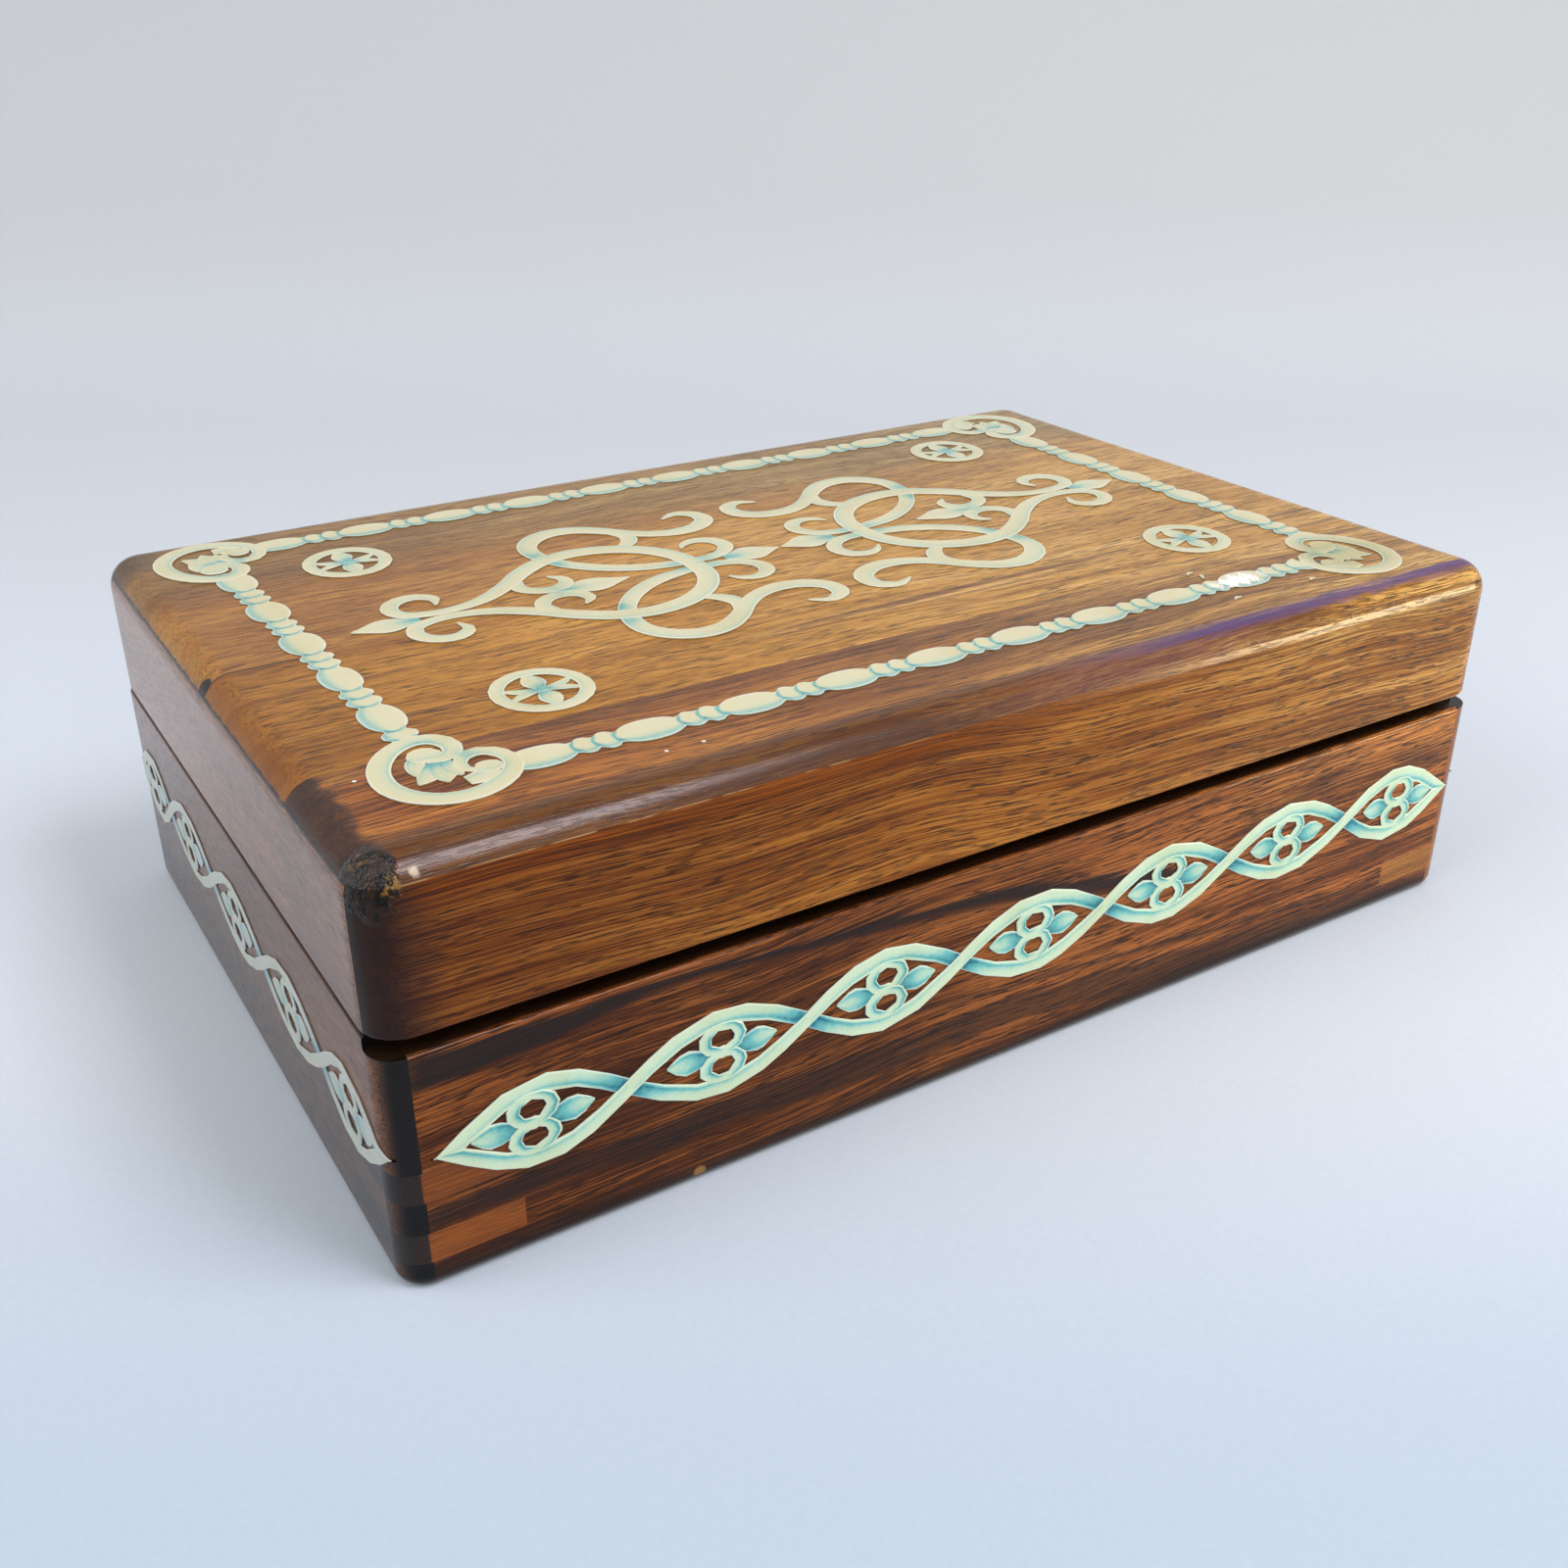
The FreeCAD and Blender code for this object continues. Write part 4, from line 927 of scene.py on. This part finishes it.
def beads(start, direction, first, pitch, count, low, high, shaded):
    """A string of oval beads with two reels between each pair. shaded is the side that is washed blue."""
    paper = Paper()
    direction = np.array(direction) / np.linalg.norm(direction)
    left = np.array([-direction[1], direction[0]])
    reach = np.arange(low, high, 0.3)
    half = np.full(len(reach), 1.55)
    ends = []
    for i in range(-1, count + 1):
        middle = first + pitch * i
        for centre, length, width in ((middle, 4.95, 3.05), (middle + pitch / 2 - 1.56, 1.75, 2.5),
                                      (middle + pitch / 2 + 1.56, 1.75, 2.5)):
            width *= CHANCE.uniform(0.95, 1.04)
            inside = 1.0 - np.abs((reach - centre) / length) ** 2.3
            half = np.maximum(half, width * np.sqrt(np.maximum(inside, 0.0)))
        ends += [middle - 4.8, middle + 4.8, middle + pitch / 2]
    ends = np.array(ends)
    middle = np.array(start)[None, :] + reach[:, None] * direction[None, :]

    def wash(t, along, places):
        run = (places - np.array(start)) @ direction
        bowed = run + 0.9 * (1 - t ** 2)
        gap = np.min(np.abs(bowed[..., None] - 0.5 - ends), axis=-1)
        return 0.03 + 0.7 * bell(gap, 0.3) + 0.45 * bell(t * shaded - 0.85, 0.4)
    outline = [hand_cut(middle + sign * left * half[:, None], 2.2) for sign in (1, -1)]
    paper.band(outline[0], outline[1], wash)
    return paper


SHREDS = [((50.0, -42.9), (50.8, -42.3), (51.6, -42.4)), ((51.1, -45.5), (51.6, -44.7), (51.9, -43.9)),
          ((48.3, -55.3), (49.1, -54.8), (49.9, -55.1)), ((65.3, -55.3), (66.0, -54.9), (66.8, -55.1))]


def torn(paper, u, v, reach):
    """Bares the white paper round a place, with loose shreds beside it."""
    for places, wash, rim in zip(paper.points, paper.layers["wash"], paper.layers["rim"]):
        x, y = places[:, 0], places[:, 1]
        ragged = 1.0 + 0.3 * np.sin(2.3 * x) + 0.25 * np.sin(5.9 * x + 4.0 * y)
        bare = np.hypot((x - u) / 2.4, y - v) < reach * ragged
        wash[bare] *= 0.3
        rim[bare] = 1.5
    for line in SHREDS:
        paper.strip(line, [0.25, 0.55, 0.25], cut=0.5)


def paper_material():
    shader = Shader("varnished_paper")
    spot = shader.millimetres()
    x, _, z = shader.split(spot)
    on_base, on_lid = shader.step(z, 45.0, 40.0), shader.step(z, 40.0, 45.0)
    brush = shader.noise(spot, 1.1, 3.0, 0.65)
    wash = shader.times(shader.attribute("wash"), shader.linear(brush, 0.8, 0.5))
    wash = shader.times(wash, shader.linear(on_base, 0.25, 0.85))
    tint = shader.ramp(wash, (0.0, colour(232, 226, 194)), (0.16, colour(210, 222, 198)),
                       (0.45, colour(118, 188, 192)), (1.0, colour(22, 110, 134)))
    age = shader.step(shader.noise(spot, 0.12, 3.0), 0.4, 0.75)
    tint = shader.mix(shader.times(age, 0.3), tint, solid(230, 214, 170), "MULTIPLY")
    tint = shader.scale(on_lid, tint, (0.82, 0.78, 0.70))
    tint = shader.mix(shader.times(on_base, 0.8), tint, solid(228, 248, 244), "MULTIPLY")
    stain = shader.linear(brush, 6.0, shader.away(spot, (81.0, -49.0, TOP)))
    stained = shader.times(shader.step(stain, 15.0, 8.0), 0.6)
    tint = shader.mix(stained, tint, solid(214, 196, 142), "MULTIPLY")
    tint = shader.cover(tint, (244, 244, 234), shader.attribute("rim"), 0.6)
    # Paper on the side walls and round the corners of the base is painted dimmer and greyer: painted shade.
    beside = shader.step(shader.math("ABSOLUTE", x), 99.0, 99.8)
    tint = shader.scale(beside, tint, (0.72, 0.66, 0.8))
    # Grime and painted shade at the foot of each cut edge.
    tint = shader.cover(tint, (60, 48, 34), shader.attribute("grime_and_shade"), 0.9)
    shader.set(Base_Color=tint, Roughness=0.3, IOR=1.34)
    shader.bump(shader.noise(spot, 2.0, 2.0), 0.02 * MM, 0.4)
    return shader.material


def add_paper():
    material = paper_material()
    # Each ribbon: crossings, their levels, and for the short walls less blue and slimmer strands.
    long_wall = ((-94.7, -67.2, -39.2, -12.5, 15.6, 42.2, 70.2, 97.0),
                 (20.4, 20.5, 20.9, 21.3, 21.8, 21.9, 21.4, 21.2))
    short_wall = ((-65.4, -43.0, -15.5, 12.5, 40.0, 65.0), (22.9, 22.6, 22.2, 21.8, 21.4, 21.2), 0.45, 0.4)
    walls = {"front": long_wall, "back": long_wall, "left": short_wall, "right": short_wall}
    for wall, values in walls.items():
        ribbon(*values).lay("paper_ribbon_" + wall, on_wall(wall), "base", material, "ribbon_" + wall)
    # Each border: start, direction, first bead, pitch, number of beads, both ends and shaded side.
    borders = {"front": ((0.0, -49.2), (1.0, 0.0), -69.0, 15.7, 9, -73.5, 71.0, -1),
               "back": ((0.0, 53.6), (1.0, 0.0), -72.5, 15.75, 10, -77.0, 74.0, -1),
               "left": ((-83.0, 0.0), (-0.029, 1.0), -26.8, 16.1, 5, -35.4, 43.0, 1),
               "right": ((81.8, 0.0), (0.0, 1.0), -25.6, 15.5, 5, -39.0, 43.0, 1)}
    for side, values in borders.items():
        border = beads(*values)
        if side == "front":
            torn(border, 55.0, -49.2, 1.9)
        border.lay("paper_beads_" + side, on_top, "lid", material, "bead_border_" + side)
    scroll(-1).lay("paper_scroll_left", on_top, "lid", material, "scroll_left")
    scroll(1).lay("paper_scroll_right", on_top, "lid", material, "scroll_right")
    medallions().lay("paper_medallions", on_top, "lid", material, "star_medallions")
    corners().lay("paper_corners", on_top, "lid", material, "corner_scrolls")


def metal(name, tone):
    shader = Shader(name)
    tarnish = shader.noise(shader.millimetres(), 1.2, 4.0)
    dull = colour(*[part * 0.6 for part in tone])
    shader.set(Base_Color=shader.ramp(tarnish, (0.3, dull), (0.7, colour(*tone))), Metallic=1.0,
               Roughness=shader.linear(tarnish, 0.3, 0.25))
    return shader.material


def dress(material, *names):
    for name in names:
        mesh = NODES[name].data
        mesh.materials.clear()
        mesh.materials.append(material)


def add_wood():
    streaked = ((68, 33, 12), (110, 60, 23), (148, 87, 40))
    dress(wood("front_streaked", "x", streaked, front_zones, lean=-0.03, pores=0.85, ior=1.25, soft=0.055),
          "base_front_board")
    dress(wood("base_back", "x", streaked, lean=0.02, offset=(40, 0, 9)), "base_back_board")
    side = ((62, 36, 20), (98, 58, 30), (120, 76, 42))
    dress(wood("base_side", "y", side, base_side_zones, lean=0.02, end=(19, 12, 10), gloss=0.13, ior=1.31),
          "base_left_board", "base_right_board")
    pale = ((120, 80, 46), (150, 104, 62), (168, 122, 78))
    dress(wood("base_bottom", "x", pale, offset=(0, 30, 0)), "base_bottom_panel")
    key = ((104, 50, 6), (124, 63, 8), (138, 74, 12))
    dress(wood("corner_key", "x", key, key_zones, offset=(11, 5, 0), pores=0.4, end=(30, 20, 15),
               gloss=0.15, ior=1.36), "base_corner_keys")
    wall = ((91, 45, 8), (132, 74, 16), (168, 110, 40))
    dress(wood("lid_wall", "x", wall, lid_front_zones, lean=0.035, pores=0.75, end=(26, 17, 13),
               gloss=0.14, ior=1.27, raw=0.7, soft=0.068), "lid_front_board")
    dress(wood("lid_back_wall", "x", wall, plank_lines, lean=-0.02, offset=(60, 0, 4)), "lid_back_board")
    lid_side = ((92, 54, 26), (122, 76, 40), (146, 98, 56))
    dress(wood("lid_side", "y", lid_side, lid_side_zones, lean=0.03, gloss=0.12, ior=1.52),
          "lid_left_board", "lid_right_board")
    golden = ((145, 89, 16), (180, 119, 29), (206, 147, 56))
    dress(wood("lid_top_middle", "x", golden, middle_plank_zones, lean=0.02, offset=(7, 3, 0), pores=0.85,
               end=(140, 84, 36), raw=0.8, flat=True), "lid_top_middle_plank")
    dress(wood("lid_top_back", "x", golden, back_plank_zones, lean=-0.015, offset=(90, 40, 0), pores=0.75,
               end=(130, 78, 36), gloss=0.18, ior=1.42, raw=0.8, flat=True), "lid_top_back_plank")
    dusk = ((84, 41, 5), (130, 74, 15), (172, 113, 44))
    dress(wood("lid_top_front", "x", dusk, front_plank_zones, lean=0.01, offset=(30, 80, 0), pores=0.7,
               end=(30, 21, 16), gloss=0.14, ior=1.4, raw=0.8, flat=True, soft=0.068), "lid_top_front_plank")
    hinge_parts = ["hinge_" + hand + part for hand in ("left", "right")
                   for part in ("_base_leaf", "_lid_leaf", "_pin")]
    dress(metal("aged_brass", (176, 138, 74)), *hinge_parts)
    dress(metal("screw_brass", (190, 150, 84)), "hinge_base_screws", "hinge_lid_screws")


bpy.context.scene.view_settings.view_transform = "Standard"
add_camera()
add_stage()
add_light()
add_wood()
add_paper()
